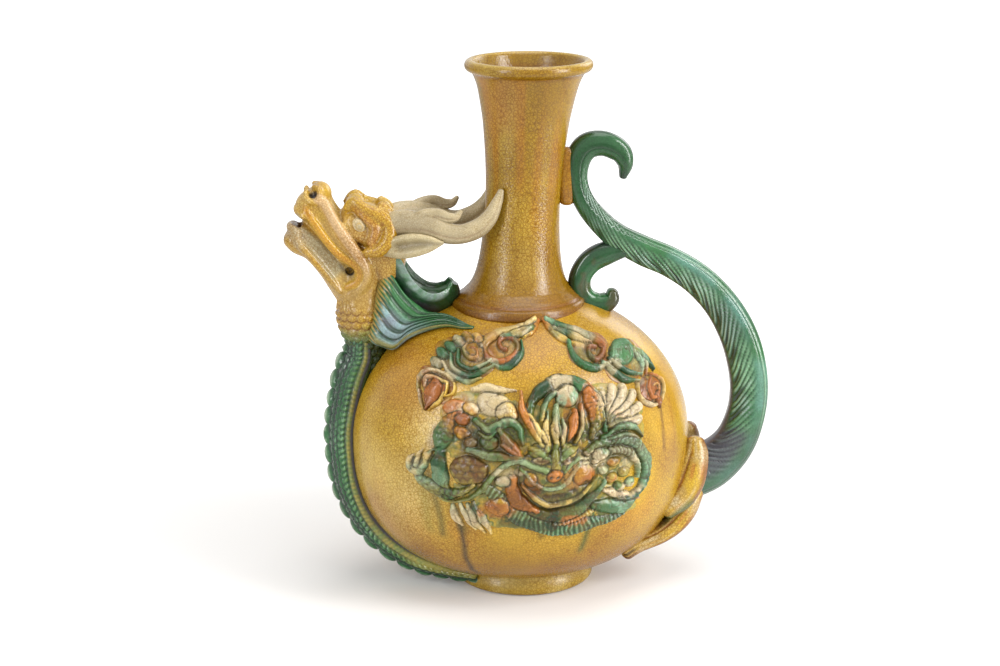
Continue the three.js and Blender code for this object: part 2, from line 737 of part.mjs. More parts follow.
function laidBoss(across, up, radius, rise, turn) {
  const centre = onBody(across * bodyUnit, waistHeight + up * reliefUnit, 0, turn);
  const facing = new THREE.Quaternion().setFromUnitVectors(new THREE.Vector3(0, 0, 1), bodyNormal(centre));
  const lump = new THREE.SphereGeometry(1, 7, 3).rotateX(Math.PI / 2)
    .scale(radius * bodyUnit, radius * bodyUnit, rise);
  return solid(lump.applyQuaternion(facing).translate(centre.x, centre.y, centre.z));
}

// The thin ground that a sprig's modelling stands on: the body's own surface, grown inside a drawn outline.
function laidGround(outline, turn) {
  const drawn = outline.map(([across, up]) => [across * bodyUnit, waistHeight + up * reliefUnit]);
  const view = new THREE.Matrix4().makeBasis(
    new THREE.Vector3(Math.cos(turn), Math.sin(turn), 0),
    new THREE.Vector3(0, 0, 1),
    new THREE.Vector3(Math.sin(turn), -Math.cos(turn), 0),
  ).setPosition(bodyOffset, 0, 0);
  const prism = new wasm.CrossSection([drawn], "NonZero").extrude(2 * bodyHalfWidth);
  return bodyForm(groundRise).intersect(prism.transform(view.elements));
}

const scrollGround = [[8.3, 95.4], [25.9, 91.4], [44.6, 86.1], [58, 75.5], [68.4, 55.6], [68.4, 39.7],
  [62.2, 39.7], [53.9, 55.6], [44.6, 63.6], [29, 71.5], [16.6, 76.8], [14.5, 84.8]];

// Cloud scroll: a stem from the neck's foot, three curls of falling size and a rim above and below them.
function scrollPiece(hand, turn) {
  const at = (x) => scrollMiddle + hand * x;
  const laid = (width, points) => laidCoil(points.map(([x, up]) => [at(x), up]), width, scrollRise, turn);
  const curls = [[25.4, 81.5, 9.1], [43.5, 75.5, 10.4], [62.2, 50.3, 8.9]];
  return cut(join([
    laidGround(scrollGround.map(([x, up]) => [at(x), up]), turn),
    laid(3.5, [[1.9, 96.2], [12.4, 93.2], [25.9, 88.7], [44.6, 84.2], [58, 74.2], [69.4, 53],
      [68.4, 38.4]]),
    laid(3.1, [[16.6, 78.1], [29, 73.6], [44.6, 65.7], [58, 54.3]]),
    ...curls.map(([x, up, radius]) => laidBoss(at(x), up, radius, scrollRise * 1.2, turn)),
  ]), bodyCutter, neckCutter);
}

const medallionGround = [[-55, 45], [-30, 59.6], [5.2, 59.6], [19.7, 63.6], [44.6, 46.4], [60.1, 9.3],
  [45.6, -34.4], [2.1, -45], [-41.5, -33], [-62.2, 5.3]];

// Medallion: a frontal dragon's mask, with the coils of its body, its whisker, beard and one claw around it.
function medallionPiece(turn) {
  const laid = (width, points, lift = 0.2) =>
    laidCoil(points, width, reliefRise, turn, lift * reliefRise);
  const boss = (across, up, radius, rise) => laidBoss(across, up, radius, rise * reliefRise, turn);
  return cut(join([
    laidGround(medallionGround, turn),
    laid(6.6, [[-20.7, 29.1], [-37.3, 38.4], [-51.8, 31.8], [-57, 13.2], [-52.8, -7.9], [-39.4, -23.8],
      [-20.7, -33.1], [2.1, -37.1], [24.9, -35.1], [45.6, -27.8]]),
    laid(6.6, [[23.8, 5.3], [32.1, 14.6], [44.6, 14.6], [54.9, 2.6], [53.9, -15.9], [39.4, -23.8]]),
    laid(6.8, [[-20.7, -7.9], [-9.3, -19.9], [3.1, -23.8], [15.5, -18.5], [24.9, -4]]),
    laid(6.2, [[-45.6, 45], [-30.1, 51.7], [-13.5, 46.4], [-5.2, 29.1]]),
    laid(6.4, [[2.1, 31.8], [5.2, 50.3], [19.7, 55.6], [32.1, 43.7], [34.2, 23.8]]),
    laid(6.6, [[31.1, 26.5], [44.6, 38.4], [52.8, 23.8]]),
    laid(4.8, [[-49.7, -1.3], [-66.3, -1.3]]),
    laid(2.1, [[-2.1, 6.6], [-14.5, 7.3], [-28, 0], [-39.4, -15.9], [-53.9, -23.2]], 1.25),
    laid(2.9, [[-4.1, 22.5], [-13.5, 54.3]], 0.85),
    boss(2.1, 7.9, 16.1, 1.71),
    boss(0.5, 0, 4.8, 2.33),
    boss(17.6, 31.8, 12.4, 1.21),
    boss(-41.5, 7.9, 12.4, 1),
    boss(-71, 0.7, 7.9, 1),
    boss(-37.3, -29.1, 7.3, 0.79),
  ]), bodyCutter);
}

// Assembly: every piece is cut back from those that carry it, so that a slip joint is left between them

const channel = spoutChannel();
const drill = cheekDrill();
const neckCutter = neckForm(slipGap);
const throatCutter = throatForm(slipGap);
const headCutter = headForm(slipGap);
const tailCutter = tailForm(slipGap);

const well = solid(new THREE.CylinderGeometry(wellBore, wellBore, rimRadius, neckSegments)
  .rotateX(Math.PI / 2).translate(neckAxis(shoulderHeight), 0, shoulderHeight));
const shell = cut(bodyForm(0), bodyForm(-bodyWall, 10, cavitySegments), well, channel);
const far = 400;
const halfSeam = slipGap / 2;
const frontHalf = box(new THREE.Vector3(-far, -far, -far), new THREE.Vector3(far, -halfSeam, far));
const backHalf = box(new THREE.Vector3(-far, halfSeam, -far), new THREE.Vector3(far, far, far));

const ewer = new THREE.Group();

function add(name, piece, [color, roughness]) {
  const material = new THREE.MeshStandardMaterial({ color, roughness, metalness: 0 });
  const mesh = new THREE.Mesh(meshGeometry(largest(piece).simplify(facetTolerance)), material);
  mesh.name = name;
  ewer.add(mesh);
}

add("body_front", shell.intersect(frontHalf), glaze.amber);
add("body_back", shell.intersect(backHalf), glaze.amber);
add("foot_ring", footPiece(), glaze.amber);
add("neck", neckPiece(), glaze.amber);

const jaw = cut(jawForm(0), headCutter, throatCutter, channel, drill);
const jawCutter = jawForm(slipGap);
add("dragon_neck", cut(throatForm(0), bodyCutter, channel, headCutter), glaze.straw);
add("dragon_head", cut(headForm(0), channel, drill), glaze.straw);
add("dragon_jaw", jaw, glaze.straw);
add("dragon_trunk", cut(join([trunkForm(0), crestForm()]), bodyCutter, throatCutter,
  solid(footForm(slipGap))), glaze.green);
const napeCutter = napeManeForm(slipGap);
const trunkCutter = trunkForm(slipGap);
const otherHalf = { front: backHalf, back: frontHalf };
add("nape_mane", cut(napeManeForm(0), headCutter, throatCutter, neckCutter, bodyCutter), glaze.green);

for (const [side, face] of [["front", -1], ["back", 1]]) {
  const browCutter = browForm(face, slipGap);
  const hornCutter = hornForm(face, slipGap);
  const earCutter = earForm(face, slipGap);
  const thighCutter = thighForm(face, slipGap);
  add(`brow_${side}`, cut(browForm(face, 0), headCutter), glaze.amber);
  add(`eye_${side}`, cut(eyeForm(face, 0), headCutter, browCutter), glaze.cream);
  add(`horn_${side}`, cut(hornForm(face, 0), headCutter, browCutter, neckCutter), glaze.cream);
  add(`ear_${side}`, cut(earForm(face, 0), headCutter, browCutter, hornCutter, throatCutter), glaze.cream);
  add(`lower_mane_${side}`,
    cut(lowerManeForm(face, 0), bodyCutter, throatCutter, neckCutter, jawCutter, headCutter, napeCutter,
      trunkCutter, otherHalf[side]), glaze.green);
  add(`thigh_${side}`, cut(thighForm(face, 0), bodyCutter, tailCutter), glaze.amber);
  add(`hind_foot_${side}`, cut(hindFootForm(face, 0), bodyCutter, tailCutter, thighCutter), glaze.amber);
}

add("tail_handle", cut(tailForm(0), bodyCutter), glaze.green);
add("tail_lower_curl", cut(lowerCurlForm(0), tailCutter, bodyCutter, neckCutter), glaze.green);
add("neck_bridge", cut(bridgeForm(), neckCutter, tailCutter), glaze.amber);

for (const [side, turn] of [["front", reliefTurn], ["back", Math.PI - reliefTurn]]) {
  add(`medallion_${side}`, medallionPiece(turn), glaze.olive);
  add(`cloud_scroll_left_${side}`, scrollPiece(-1, turn), glaze.olive);
  add(`cloud_scroll_right_${side}`, scrollPiece(1, turn), glaze.olive);
}

// The whole outline is centred over the origin, and the foot stands on it.
const extent = new THREE.Box3().setFromObject(ewer);
const middle = extent.getCenter(new THREE.Vector3());
ewer.position.set(-middle.x, -middle.y, -extent.min.z);

export default ewer;
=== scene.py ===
# Dragon ewer in crackled amber, green and cream glaze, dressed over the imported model.
# Lengths in the drawings are millimetres on the vessel's own axes: x to the right, y
# away from the camera, z up, with the middle of the foot ring at the origin.
from functools import partial

import bpy
import numpy as np
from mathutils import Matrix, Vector


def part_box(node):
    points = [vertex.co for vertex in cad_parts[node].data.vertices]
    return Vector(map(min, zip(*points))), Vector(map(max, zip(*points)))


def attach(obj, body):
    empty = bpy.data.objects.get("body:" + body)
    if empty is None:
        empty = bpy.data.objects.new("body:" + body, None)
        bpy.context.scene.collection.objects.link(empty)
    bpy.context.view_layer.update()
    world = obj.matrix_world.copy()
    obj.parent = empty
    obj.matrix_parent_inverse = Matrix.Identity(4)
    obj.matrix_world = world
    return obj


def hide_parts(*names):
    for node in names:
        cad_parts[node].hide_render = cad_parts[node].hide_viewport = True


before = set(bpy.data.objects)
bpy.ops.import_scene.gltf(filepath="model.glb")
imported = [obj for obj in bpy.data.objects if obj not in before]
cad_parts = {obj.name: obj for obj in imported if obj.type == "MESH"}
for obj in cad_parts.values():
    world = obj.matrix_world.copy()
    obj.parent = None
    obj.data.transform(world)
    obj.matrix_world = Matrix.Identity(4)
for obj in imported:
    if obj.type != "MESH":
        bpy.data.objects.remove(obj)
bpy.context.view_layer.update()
print("frame loaded:", len(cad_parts), "nodes")

footLow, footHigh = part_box("foot_ring")
vesselAxis = np.array([(footLow.x + footHigh.x) / 2, (footLow.y + footHigh.y) / 2, 0.0])

# glaze colours; some of them also paint shade and highlight onto the pieces
glaze = {
    "amber": (0.61, 0.400, 0.034),
    "deepAmber": (0.46, 0.235, 0.012),
    "paleAmber": (0.74, 0.560, 0.170),
    "straw": (0.54, 0.365, 0.100),
    "rust": (0.26, 0.085, 0.016),
    "orange": (0.52, 0.175, 0.030),
    "brown": (0.15, 0.065, 0.018),
    "cream": (0.66, 0.560, 0.360),
    "bone": (0.47, 0.395, 0.250),
    "ink": (0.022, 0.020, 0.028),
    "lavender": (0.190, 0.170, 0.240),
    "sky": (0.40, 0.500, 0.500),
    "darkGreen": (0.010, 0.050, 0.016),
    "green": (0.028, 0.135, 0.040),
    "leaf": (0.080, 0.250, 0.090),
    "mint": (0.260, 0.460, 0.290),
    "olive": (0.330, 0.300, 0.060),
}
glaze = {name: np.array(value) for name, value in glaze.items()}
flanks = ((-1, "front"), (1, "back"))  # which way each flank faces along y


# arrays

def unit(v):
    # each vector over its own length
    return v / np.maximum(np.linalg.norm(v, axis=-1, keepdims=True), 1e-12)


def rise(x, low, high):
    # 0 below low, 1 above high, and 3t^2 - 2t^3 between
    t = np.clip((x - low) / (high - low), 0, 1)
    return t * t * (3 - 2 * t)


def mix(a, b, share):
    # a where share is 0 and b where it is 1
    share = np.asarray(share, float)[..., None]
    return a * (1 - share) + b * share


def cloud(points, size, seed=0):
    # value noise from 0 to 1: lattice numbers joined by smooth steps along all three axes
    q = np.asarray(points, float) / size + seed * 17.31
    base = np.floor(q)
    f = q - base
    f = f * f * (3 - 2 * f)
    total = np.zeros(q.shape[:-1])
    for corner in np.ndindex(2, 2, 2):
        cell = base + corner
        number = np.sin(cell @ np.array([127.1, 311.7, 74.7])) * 43758.5453
        weight = np.prod(np.where(np.array(corner) == 1, f, 1 - f), axis=-1)
        total += weight * (number - np.floor(number))
    return total


def clouds(points, size, seed=0):
    # three octaves of value noise, from 0 to 1
    return (cloud(points, size, seed) * 4 + cloud(points, size / 2, seed + 1) * 2
            + cloud(points, size / 4, seed + 2)) / 7


def noiseOver(a, b, size, seed):
    # value noise over two numbers that change along a piece
    return cloud(np.stack([a, 0 * a, b + 0 * a], -1), size, seed)


def scaleBow(u, v, hanging=False):
    # distance from the root of each overlapping scale; every other row is half a scale along
    row = np.floor(v)
    u = u + 0.5 * (row % 2)
    along = 1 - (v - row) if hanging else v - row
    return np.hypot((u - np.floor(u) - 0.5) * 1.5, along)


def bell(x, middle, width):
    # exp(-((x - middle) / width)^2)
    return np.exp(-((x - middle) / width) ** 2)


def plain(p, name):
    # one glaze over every point
    return np.ones(p.shape) * glaze[name]


def glazeAndLightCoats(tint, *coats):
    # One glaze, painted shade or painted highlight after another over what is there. A coat is a glaze's
    # name or a colour, its share at each point, and where the colour changes, what it is multiplied by.
    for name, share, *change in coats:
        colour = glaze[name] if isinstance(name, str) else np.asarray(name)
        tint = mix(tint, colour * change[0] if change else colour, share)
    return tint


def throughPoints(stations, t):
    # Catmull-Rom through the stations: (2b + (c-a)f + (2a-5b+4c-d)f^2 + (3b-a-3c+d)f^3) / 2
    p = np.asarray(stations, float)
    p = np.vstack([2 * p[0] - p[1], p, 2 * p[-1] - p[-2]])
    s = np.clip(t, 0, 1) * (len(p) - 3)
    i = np.minimum(s.astype(int), len(p) - 4)
    f = (s - i)[:, None]
    a, b, c, d = p[i], p[i + 1], p[i + 2], p[i + 3]
    return (2 * b + (c - a) * f + (2 * a - 5 * b + 4 * c - d) * f ** 2
            + (3 * b - a - 3 * c + d) * f ** 3) / 2


def evenSteps(stations, count):
    # shares of the curve at equal lengths along it, and its length
    t = np.linspace(0, 1, 3000)
    path = throughPoints(np.asarray(stations, float)[:, :3], t)
    run = np.concatenate([[0], np.cumsum(np.linalg.norm(np.diff(path, axis=0), axis=1))])
    return np.interp(np.linspace(0, run[-1], count), run, t), run[-1]


def carried(stations, steps, sides, outline=None, side=(0, 1, 0), dome=0.7, domeRows=6):
    # A section carried along a path. Across lies in the plane of the bend and deep along the
    # side direction, and (u, v) is the outline at each angle:
    # point = centre + across * u * halfWidth + deep * v * halfDepth
    stations = np.asarray(stations, float)
    t, length = evenSteps(stations, steps)
    centre = throughPoints(stations[:, :3], t)
    size = np.maximum(throughPoints(stations[:, 3:5], t), 0.3)
    along = unit(np.gradient(centre, axis=0))
    run = np.linspace(0, length, steps)
    if dome:
        turn = np.linspace(0, np.pi / 2, domeRows + 1)[1:] * 0.96
        cap = dome * size[[0, -1]].min(axis=1)
        before = centre[0] - along[0] * (np.sin(turn) * cap[0])[::-1, None]
        after = centre[-1] + along[-1] * (np.sin(turn) * cap[1])[:, None]
        centre = np.vstack([before, centre, after])
        size = np.vstack([size[0] * np.cos(turn)[::-1, None], size, size[-1] * np.cos(turn)[:, None]])
        along = np.vstack([np.repeat(along[:1], domeRows, 0), along, np.repeat(along[-1:], domeRows, 0)])
        run = np.concatenate([-np.sin(turn)[::-1] * cap[0], run, length + np.sin(turn) * cap[1]])
    facing = side(centre) if callable(side) else np.broadcast_to(np.asarray(side, float), centre.shape)
    across = unit(np.cross(facing, along))
    deep = np.cross(along, across)
    angle = 2 * np.pi * np.arange(sides) / sides
    share = (run / length)[:, None] * np.ones(sides)
    turns = np.ones(len(run))[:, None] * angle
    u, v = outline(turns, share) if outline else (np.cos(turns), np.sin(turns))
    rings = (centre[:, None] + across[:, None] * (u * size[:, :1])[..., None]
             + deep[:, None] * (v * size[:, 1:])[..., None])
    return {"rings": rings, "angle": turns, "share": share, "run": run[:, None] * np.ones(sides), "u": u,
            "v": v, "centre": centre, "length": length, "size": size}


def outward(rings, centre):
    # the cross product of the steps along and around, turned away from the middle line
    around = (np.roll(rings, -1, 1) - np.roll(rings, 1, 1)) / 2
    normal = unit(np.cross(np.gradient(rings, axis=0), around))
    facing = np.sum(normal * (rings - centre[:, None]))
    return normal * (1 if facing > 0 else -1)


def swollen(form, height):
    # the rings moved out along their normals
    return form["rings"] + outward(form["rings"], form["centre"]) * height[..., None]


# meshes

def sheetFaces(rows, columns, closed):
    # four corners of every cell of a grid; a closed grid joins its last column to its first
    last = columns if closed else columns - 1
    r, c = np.meshgrid(np.arange(rows - 1), np.arange(last), indexing="ij")
    n = (c + 1) % columns
    cells = np.stack([r * columns + c, r * columns + n, (r + 1) * columns + n, (r + 1) * columns + c], -1)
    return cells.reshape(-1, 4)


def closedSkin(rings, tint):
    # rings joined into a skin, with a point in the middle of each end
    rows, columns = rings.shape[:2]
    points = np.vstack([rings.reshape(-1, 3), rings[0].mean(0), rings[-1].mean(0)])
    colours = np.vstack([tint.reshape(-1, 3), tint[0].mean(0), tint[-1].mean(0)])
    c = np.arange(columns)
    n = (c + 1) % columns
    first = np.stack([np.full(columns, rows * columns), n, c], -1)
    base = (rows - 1) * columns
    final = np.stack([np.full(columns, rows * columns + 1), base + c, base + n], -1)
    return points, [sheetFaces(rows, columns, True), np.vstack([first, final])], colours


def ringSkin(rings, tint):
    # rings whose last joins the first again, as on a vessel with a wall
    rows, columns = rings.shape[:2]
    loop = np.vstack([rings, rings[:1]])
    faces = sheetFaces(rows + 1, columns, True) % (rows * columns)
    return loop[:-1].reshape(-1, 3), [faces], tint.reshape(-1, 3)


def joined(parts):
    # several skins in one
    points, faces, colours, start = [], [], [], 0
    for p, f, c in parts:
        points.append(p)
        faces += [cells + start for cells in f]
        colours.append(c)
        start += len(p)
    return np.vstack(points), faces, np.vstack(colours)


def spaceInside(points, faces):
    # volume by the sum of a . (b x c) / 6 over all triangles
    total = 0.0
    for cells in faces:
        for k in range(1, cells.shape[1] - 1):
            a, b, c = points[cells[:, 0]], points[cells[:, k]], points[cells[:, k + 1]]
            total += np.sum(a * np.cross(b, c)) / 6
    return total


def putPiece(name, skin, material, nodes):
    # a finished piece, facing outwards, in place of its nodes
    points, faces, tint = skin
    if spaceInside(points, faces) < 0:
        faces = [cells[:, ::-1] for cells in faces]
    mesh = bpy.data.meshes.new(name)
    mesh.from_pydata((points / 1000 + vesselAxis).tolist(), [],
                     [f for cells in faces for f in cells.tolist()])
    mesh.polygons.foreach_set("use_smooth", np.ones(len(mesh.polygons), bool))
    paint(mesh, tint)
    mesh.materials.append(material)
    piece = bpy.data.objects.new(name, mesh)
    bpy.context.scene.collection.objects.link(piece)
    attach(piece, "root")
    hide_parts(*nodes)
    print("piece", name, len(mesh.polygons), "faces")


def paint(mesh, tint):
    # the glaze's colour at each point of the mesh
    layer = mesh.color_attributes.new(name="tint", type="FLOAT_COLOR", domain="POINT")
    rgba = np.ones((len(mesh.vertices), 4), np.float32)
    rgba[:, :3] = np.clip(tint, 0, 1)
    layer.data.foreach_set("color", rgba.ravel())


# glaze material

def nodeBench(tree):
    # an emptied node tree, with a maker of nodes and a feeder of their sockets
    tree.nodes.clear()

    def node(kind, **settings):
        made = tree.nodes.new(kind)
        for key, value in settings.items():
            setattr(made, key, value)
        return made

    def feed(socket, value):
        if isinstance(value, bpy.types.NodeSocket):
            tree.links.new(value, socket)
        else:
            socket.default_value = value

    def arithmetic(operation, a, b=0.0):
        made = node("ShaderNodeMath", operation=operation)
        feed(made.inputs[0], a)
        feed(made.inputs[1], b)
        return made.outputs[0]

    def between(value, fromLow, fromHigh, low=0.0, high=1.0):
        made = node("ShaderNodeMapRange", interpolation_type="SMOOTHSTEP")
        for socket, number in zip(made.inputs[:5], (value, fromLow, fromHigh, low, high)):
            feed(socket, number)
        return made.outputs[0]

    return node, feed, arithmetic, between


def glazeMaterial(name, look):
    material = bpy.data.materials.new(name)
    material.use_nodes = True
    node, feed, arithmetic, between = nodeBench(material.node_tree)

    def noise(scale, detail, vector, output="Fac"):
        made = node("ShaderNodeTexNoise")
        feed(made.inputs["Scale"], scale)
        feed(made.inputs["Detail"], detail)
        feed(made.inputs["Vector"], vector)
        return made.outputs[output]

    def colourMix(kind, share, a, b):
        made = node("ShaderNodeMix", data_type="RGBA", blend_type=kind)
        feed(made.inputs[0], share)
        feed(made.inputs[6], a)
        feed(made.inputs[7], b)
        return made.outputs[2]

    place = node("ShaderNodeTexCoord").outputs["Object"]
    tint = node("ShaderNodeAttribute", attribute_name="tint").outputs["Color"]

    # crackle: thin lines where two Voronoi cells meet, bent a little by noise
    bend = node("ShaderNodeVectorMath", operation="SUBTRACT")
    feed(bend.inputs[0], noise(260.0, 2.0, place, "Color"))
    feed(bend.inputs[1], (0.5, 0.5, 0.5))
    reach = node("ShaderNodeVectorMath", operation="SCALE")
    feed(reach.inputs[0], bend.outputs[0])
    feed(reach.inputs["Scale"], look["crackBend"])
    moved = node("ShaderNodeVectorMath", operation="ADD")
    feed(moved.inputs[0], place)
    feed(moved.inputs[1], reach.outputs[0])

    def crackle(scale, width):
        made = node("ShaderNodeTexVoronoi", feature="DISTANCE_TO_EDGE")
        feed(made.inputs["Scale"], scale)
        feed(made.inputs["Vector"], moved.outputs[0])
        return between(made.outputs["Distance"], 0.0, width, 1.0, 0.0)

    coarse = crackle(look["crackScale"], look["crackWidth"])
    fine = arithmetic("MULTIPLY", crackle(look["crackScale"] * 1.9, look["crackWidth"] * 1.5), 0.55)
    lines = arithmetic("MAXIMUM", coarse, fine)
    patches = between(noise(24.0, 2.0, place), 0.32, 0.62, look["crackLeast"], 1.0)
    lines = arithmetic("MULTIPLY", lines, patches)

    # the melt: broad drifts of strength, and small specks
    drift = between(noise(look["driftScale"], 3.0, place), 0.3, 0.7, 1 - look["drift"], 1 + look["drift"])
    speck = between(noise(900.0, 2.0, place), 0.25, 0.75, 1 - look["speck"], 1 + look["speck"])
    strength = arithmetic("MULTIPLY", drift, speck)
    melted = node("ShaderNodeVectorMath", operation="SCALE")
    feed(melted.inputs[0], tint)
    feed(melted.inputs["Scale"], strength)
    crackShade = colourMix("MULTIPLY", 1.0, melted.outputs[0], look["crackColour"])
    colour = colourMix("MIX", arithmetic("MULTIPLY", lines, look["crackStrength"]), melted.outputs[0],
                       crackShade)

    # a wavy, glossy skin, in which the cracks lie a little low
    wave = noise(look["waveScale"], 2.0, place)
    low = arithmetic("MULTIPLY", lines, -look["crackDepth"])
    height = arithmetic("ADD", arithmetic("MULTIPLY", wave, look["waveDepth"]), low)
    bump = node("ShaderNodeBump")
    feed(bump.inputs["Strength"], 1.0)
    feed(bump.inputs["Distance"], 0.001)
    feed(bump.inputs["Height"], height)
    rough = between(noise(120.0, 2.0, place), 0.3, 0.7, look["rough"] * 0.8, look["rough"] * 1.25)

    shader = node("ShaderNodeBsdfPrincipled")
    feed(shader.inputs["Base Color"], colour)
    feed(shader.inputs["Roughness"], rough)
    feed(shader.inputs["Normal"], bump.outputs[0])
    feed(shader.inputs["IOR"], 1.46)
    feed(shader.inputs["Coat Weight"], look["coat"])
    feed(shader.inputs["Coat Roughness"], 0.08)
    feed(node("ShaderNodeOutputMaterial").inputs[0], shader.outputs[0])
    return material


glazeLook = {"crackScale": 540.0, "crackWidth": 0.18, "crackBend": 0.0016, "crackStrength": 1.0,
             "crackLeast": 0.55, "crackColour": (0.50, 0.38, 0.13, 1.0), "crackDepth": 0.05,
             "driftScale": 30.0, "drift": 0.10, "speck": 0.10, "waveScale": 42.0, "waveDepth": 0.35,
             "rough": 0.14, "coat": 0.0}
amberGlaze = glazeMaterial("amberCrackle", glazeLook)
reliefGlaze = glazeMaterial("sprigGlaze",
                            {**glazeLook, "crackStrength": 0.5, "waveDepth": 0.2, "rough": 0.14})
strawGlaze = glazeMaterial("strawCrackle",
                           {**glazeLook, "crackScale": 640.0, "crackWidth": 0.25, "waveDepth": 0.2,
                            "crackColour": (0.46, 0.30, 0.11, 1.0)})
creamGlaze = glazeMaterial("creamCrackle",
                           {**glazeLook, "crackScale": 900.0, "crackWidth": 0.16, "rough": 0.3,
                            "crackStrength": 0.75, "waveDepth": 0.15})
greenGlaze = glazeMaterial("greenGlaze",
                           {**glazeLook, "crackStrength": 0.25, "crackLeast": 0.1, "speck": 0.16,
                            "drift": 0.2, "waveDepth": 0.25, "rough": 0.12, "coat": 0.2})
print("glazes ready")


# body

body = {"halfWidth": 96.5, "halfDepth": 81.0, "lean": -2.5, "waist": 88.0, "shoulder": 163.5,
        "shoulderRadius": 36.0, "foot": 9.0, "footRadius": 38.0, "upper": 2.0, "lower": 2.5, "wall": 5.0,
        "mouthRadius": 18.9, "columns": 360, "rows": 170, "innerStep": 3}
upperReach = (body["shoulder"] - body["waist"]) / (
    1 - (body["shoulderRadius"] / body["halfWidth"]) ** body["upper"]) ** (1 / body["upper"])
lowerReach = (body["waist"] - body["foot"]) / (
    1 - (body["footRadius"] / body["halfWidth"]) ** body["lower"]) ** (1 / body["lower"])
flattening = body["halfDepth"] / body["halfWidth"]


def bodyRadius(z):
    # half width of a superellipse, one above the waist and one below:
    # width * (1 - (height / reach)^n)^(1/n)
    above = z >= body["waist"]
    n = np.where(above, body["upper"], body["lower"])
    part = np.minimum(np.abs(z - body["waist"]) / np.where(above, upperReach, lowerReach), 0.9999)
    return body["halfWidth"] * (1 - part ** n) ** (1 / n)


def bodyNormal(p):
    # the gradient of the superellipse's own equation
    above = p[..., 2] >= body["waist"]
    n = np.where(above, body["upper"], body["lower"])
    reach = np.where(above, upperReach, lowerReach)
    flat = np.stack([p[..., 0] - body["lean"], p[..., 1] / flattening], -1)
    radius = np.maximum(np.linalg.norm(flat, axis=-1), 1e-9)
    up = (p[..., 2] - body["waist"]) / reach
    slope = (radius / body["halfWidth"]) ** (n - 1) / body["halfWidth"]
    return unit(np.stack([flat[..., 0] / radius * slope, flat[..., 1] / radius * slope / flattening,
                          np.sign(up) * np.abs(up) ** (n - 1) / reach], -1))


def outlineX(hand, z, lift=0.0):
    # x of the body's left (-1) or right (1) outline at a height
    return body["lean"] + hand * (float(bodyRadius(np.array(float(z)))) + lift)


def onBody(across, z, lift, turn):
    # a point of the body seen square on from a turn about its axis: the near crossing of the
    # line of sight with the ellipse at that height, then moved out along the normal
    right = np.array([np.cos(turn), np.sin(turn)])
    toward = np.array([np.sin(turn), -np.cos(turn)])
    wide = bodyRadius(z) ** 2
    thick = wide * flattening ** 2
    a = toward[0] ** 2 / wide + toward[1] ** 2 / thick
    b = across * (right[0] * toward[0] / wide + right[1] * toward[1] / thick)
    c = across ** 2 * (right[0] ** 2 / wide + right[1] ** 2 / thick) - 1
    reach = (np.sqrt(np.maximum(b * b - a * c, 0)) - b) / a
    p = np.stack([body["lean"] + across * right[0] + reach * toward[0],
                  across * right[1] + reach * toward[1], z + 0 * reach], -1)
    return p + bodyNormal(p) * np.asarray(lift)[..., None]


def onShoulder(x, y, lift):
    # a point over the body's upper half
    part = min(np.hypot(x - body["lean"], y / flattening) / body["halfWidth"], 0.999)
    z = body["waist"] + upperReach * (1 - part ** body["upper"]) ** (1 / body["upper"])
    p = np.array([x, y, z])
    return p + bodyNormal(p) * lift


def mouldView(p, turn):
    # across and towards the eye, in the view of a turn about the body's axis
    x, y = p[..., 0] - body["lean"], p[..., 1]
    return x * np.cos(turn) + y * np.sin(turn), x * np.sin(turn) - y * np.cos(turn)


def streak(across, z, path, width):
    # 1 on a run of glaze that follows the path downwards, falling off sideways as exp(-(d/w)^2)
    path = np.asarray(path, float)
    middle = np.interp(-z, -path[:, 1], path[:, 0])
    fade = rise(z, path[-1, 1], path[-1, 1] + 6) * (1 - rise(z, path[0, 1] - 3, path[0, 1] + 2))
    return bell(across - middle, 0, width) * fade


reliefTurn = np.radians(8.0)


def bodyTint(p):
    across, toward = mouldView(p, reliefTurn)
    back = mouldView(p, np.pi - reliefTurn)[0]
    across = np.where(toward > 0, across, back)
    z = p[..., 2]
    # two pale patches left of the mask, where the painted sheen goes
    thin = np.exp(-((across + 60) / 11) ** 2 - ((z - 106) / 18) ** 2) + 0.9 * np.exp(
        -((across + 72) / 14) ** 2 - ((z - 66) / 22) ** 2)
    tint = glazeAndLightCoats(plain(p, "amber"),
        ("deepAmber", 0.6 * rise(clouds(p, 42, 3), 0.45, 0.7)),
        ("paleAmber", 0.5 * rise(clouds(p, 36, 9), 0.45, 0.7) * (1 - rise(z, 118, 140))),
        # deeper towards the shoulder and at the left, and a painted sheen in pale amber beside the mask
        ("deepAmber", 0.45 * rise(z, 125, 160)),
        ("orange", 0.35 * np.exp(-((z - 132) / 16) ** 2 - ((across + 68) / 22) ** 2)),
        ("orange", 0.25 * rise(clouds(p, 22, 15), 0.52, 0.7) * (1 - rise(z, 60, 90))),
        ("deepAmber", 0.6 * (1 - rise(z + 14 * clouds(p, 30, 21), 30, 62)), 0.8),
        ("paleAmber", 0.65 * np.clip(thin, 0, 1), [1, 1.06, 1.6]),
        # pooled glaze round the foot; round the collar, pooled glaze with the painted shadow of its step
        ("rust", 0.75 * rise(z, 161, 166)),
        ("rust", 0.8 * (1 - rise(z, 10, 17))))
    # runs of green and brown below the sprigs
    for path, width, colour, strength in bodyRuns:
        tint = mix(tint, glaze[colour], strength * streak(across, z, path, width))
    return tint


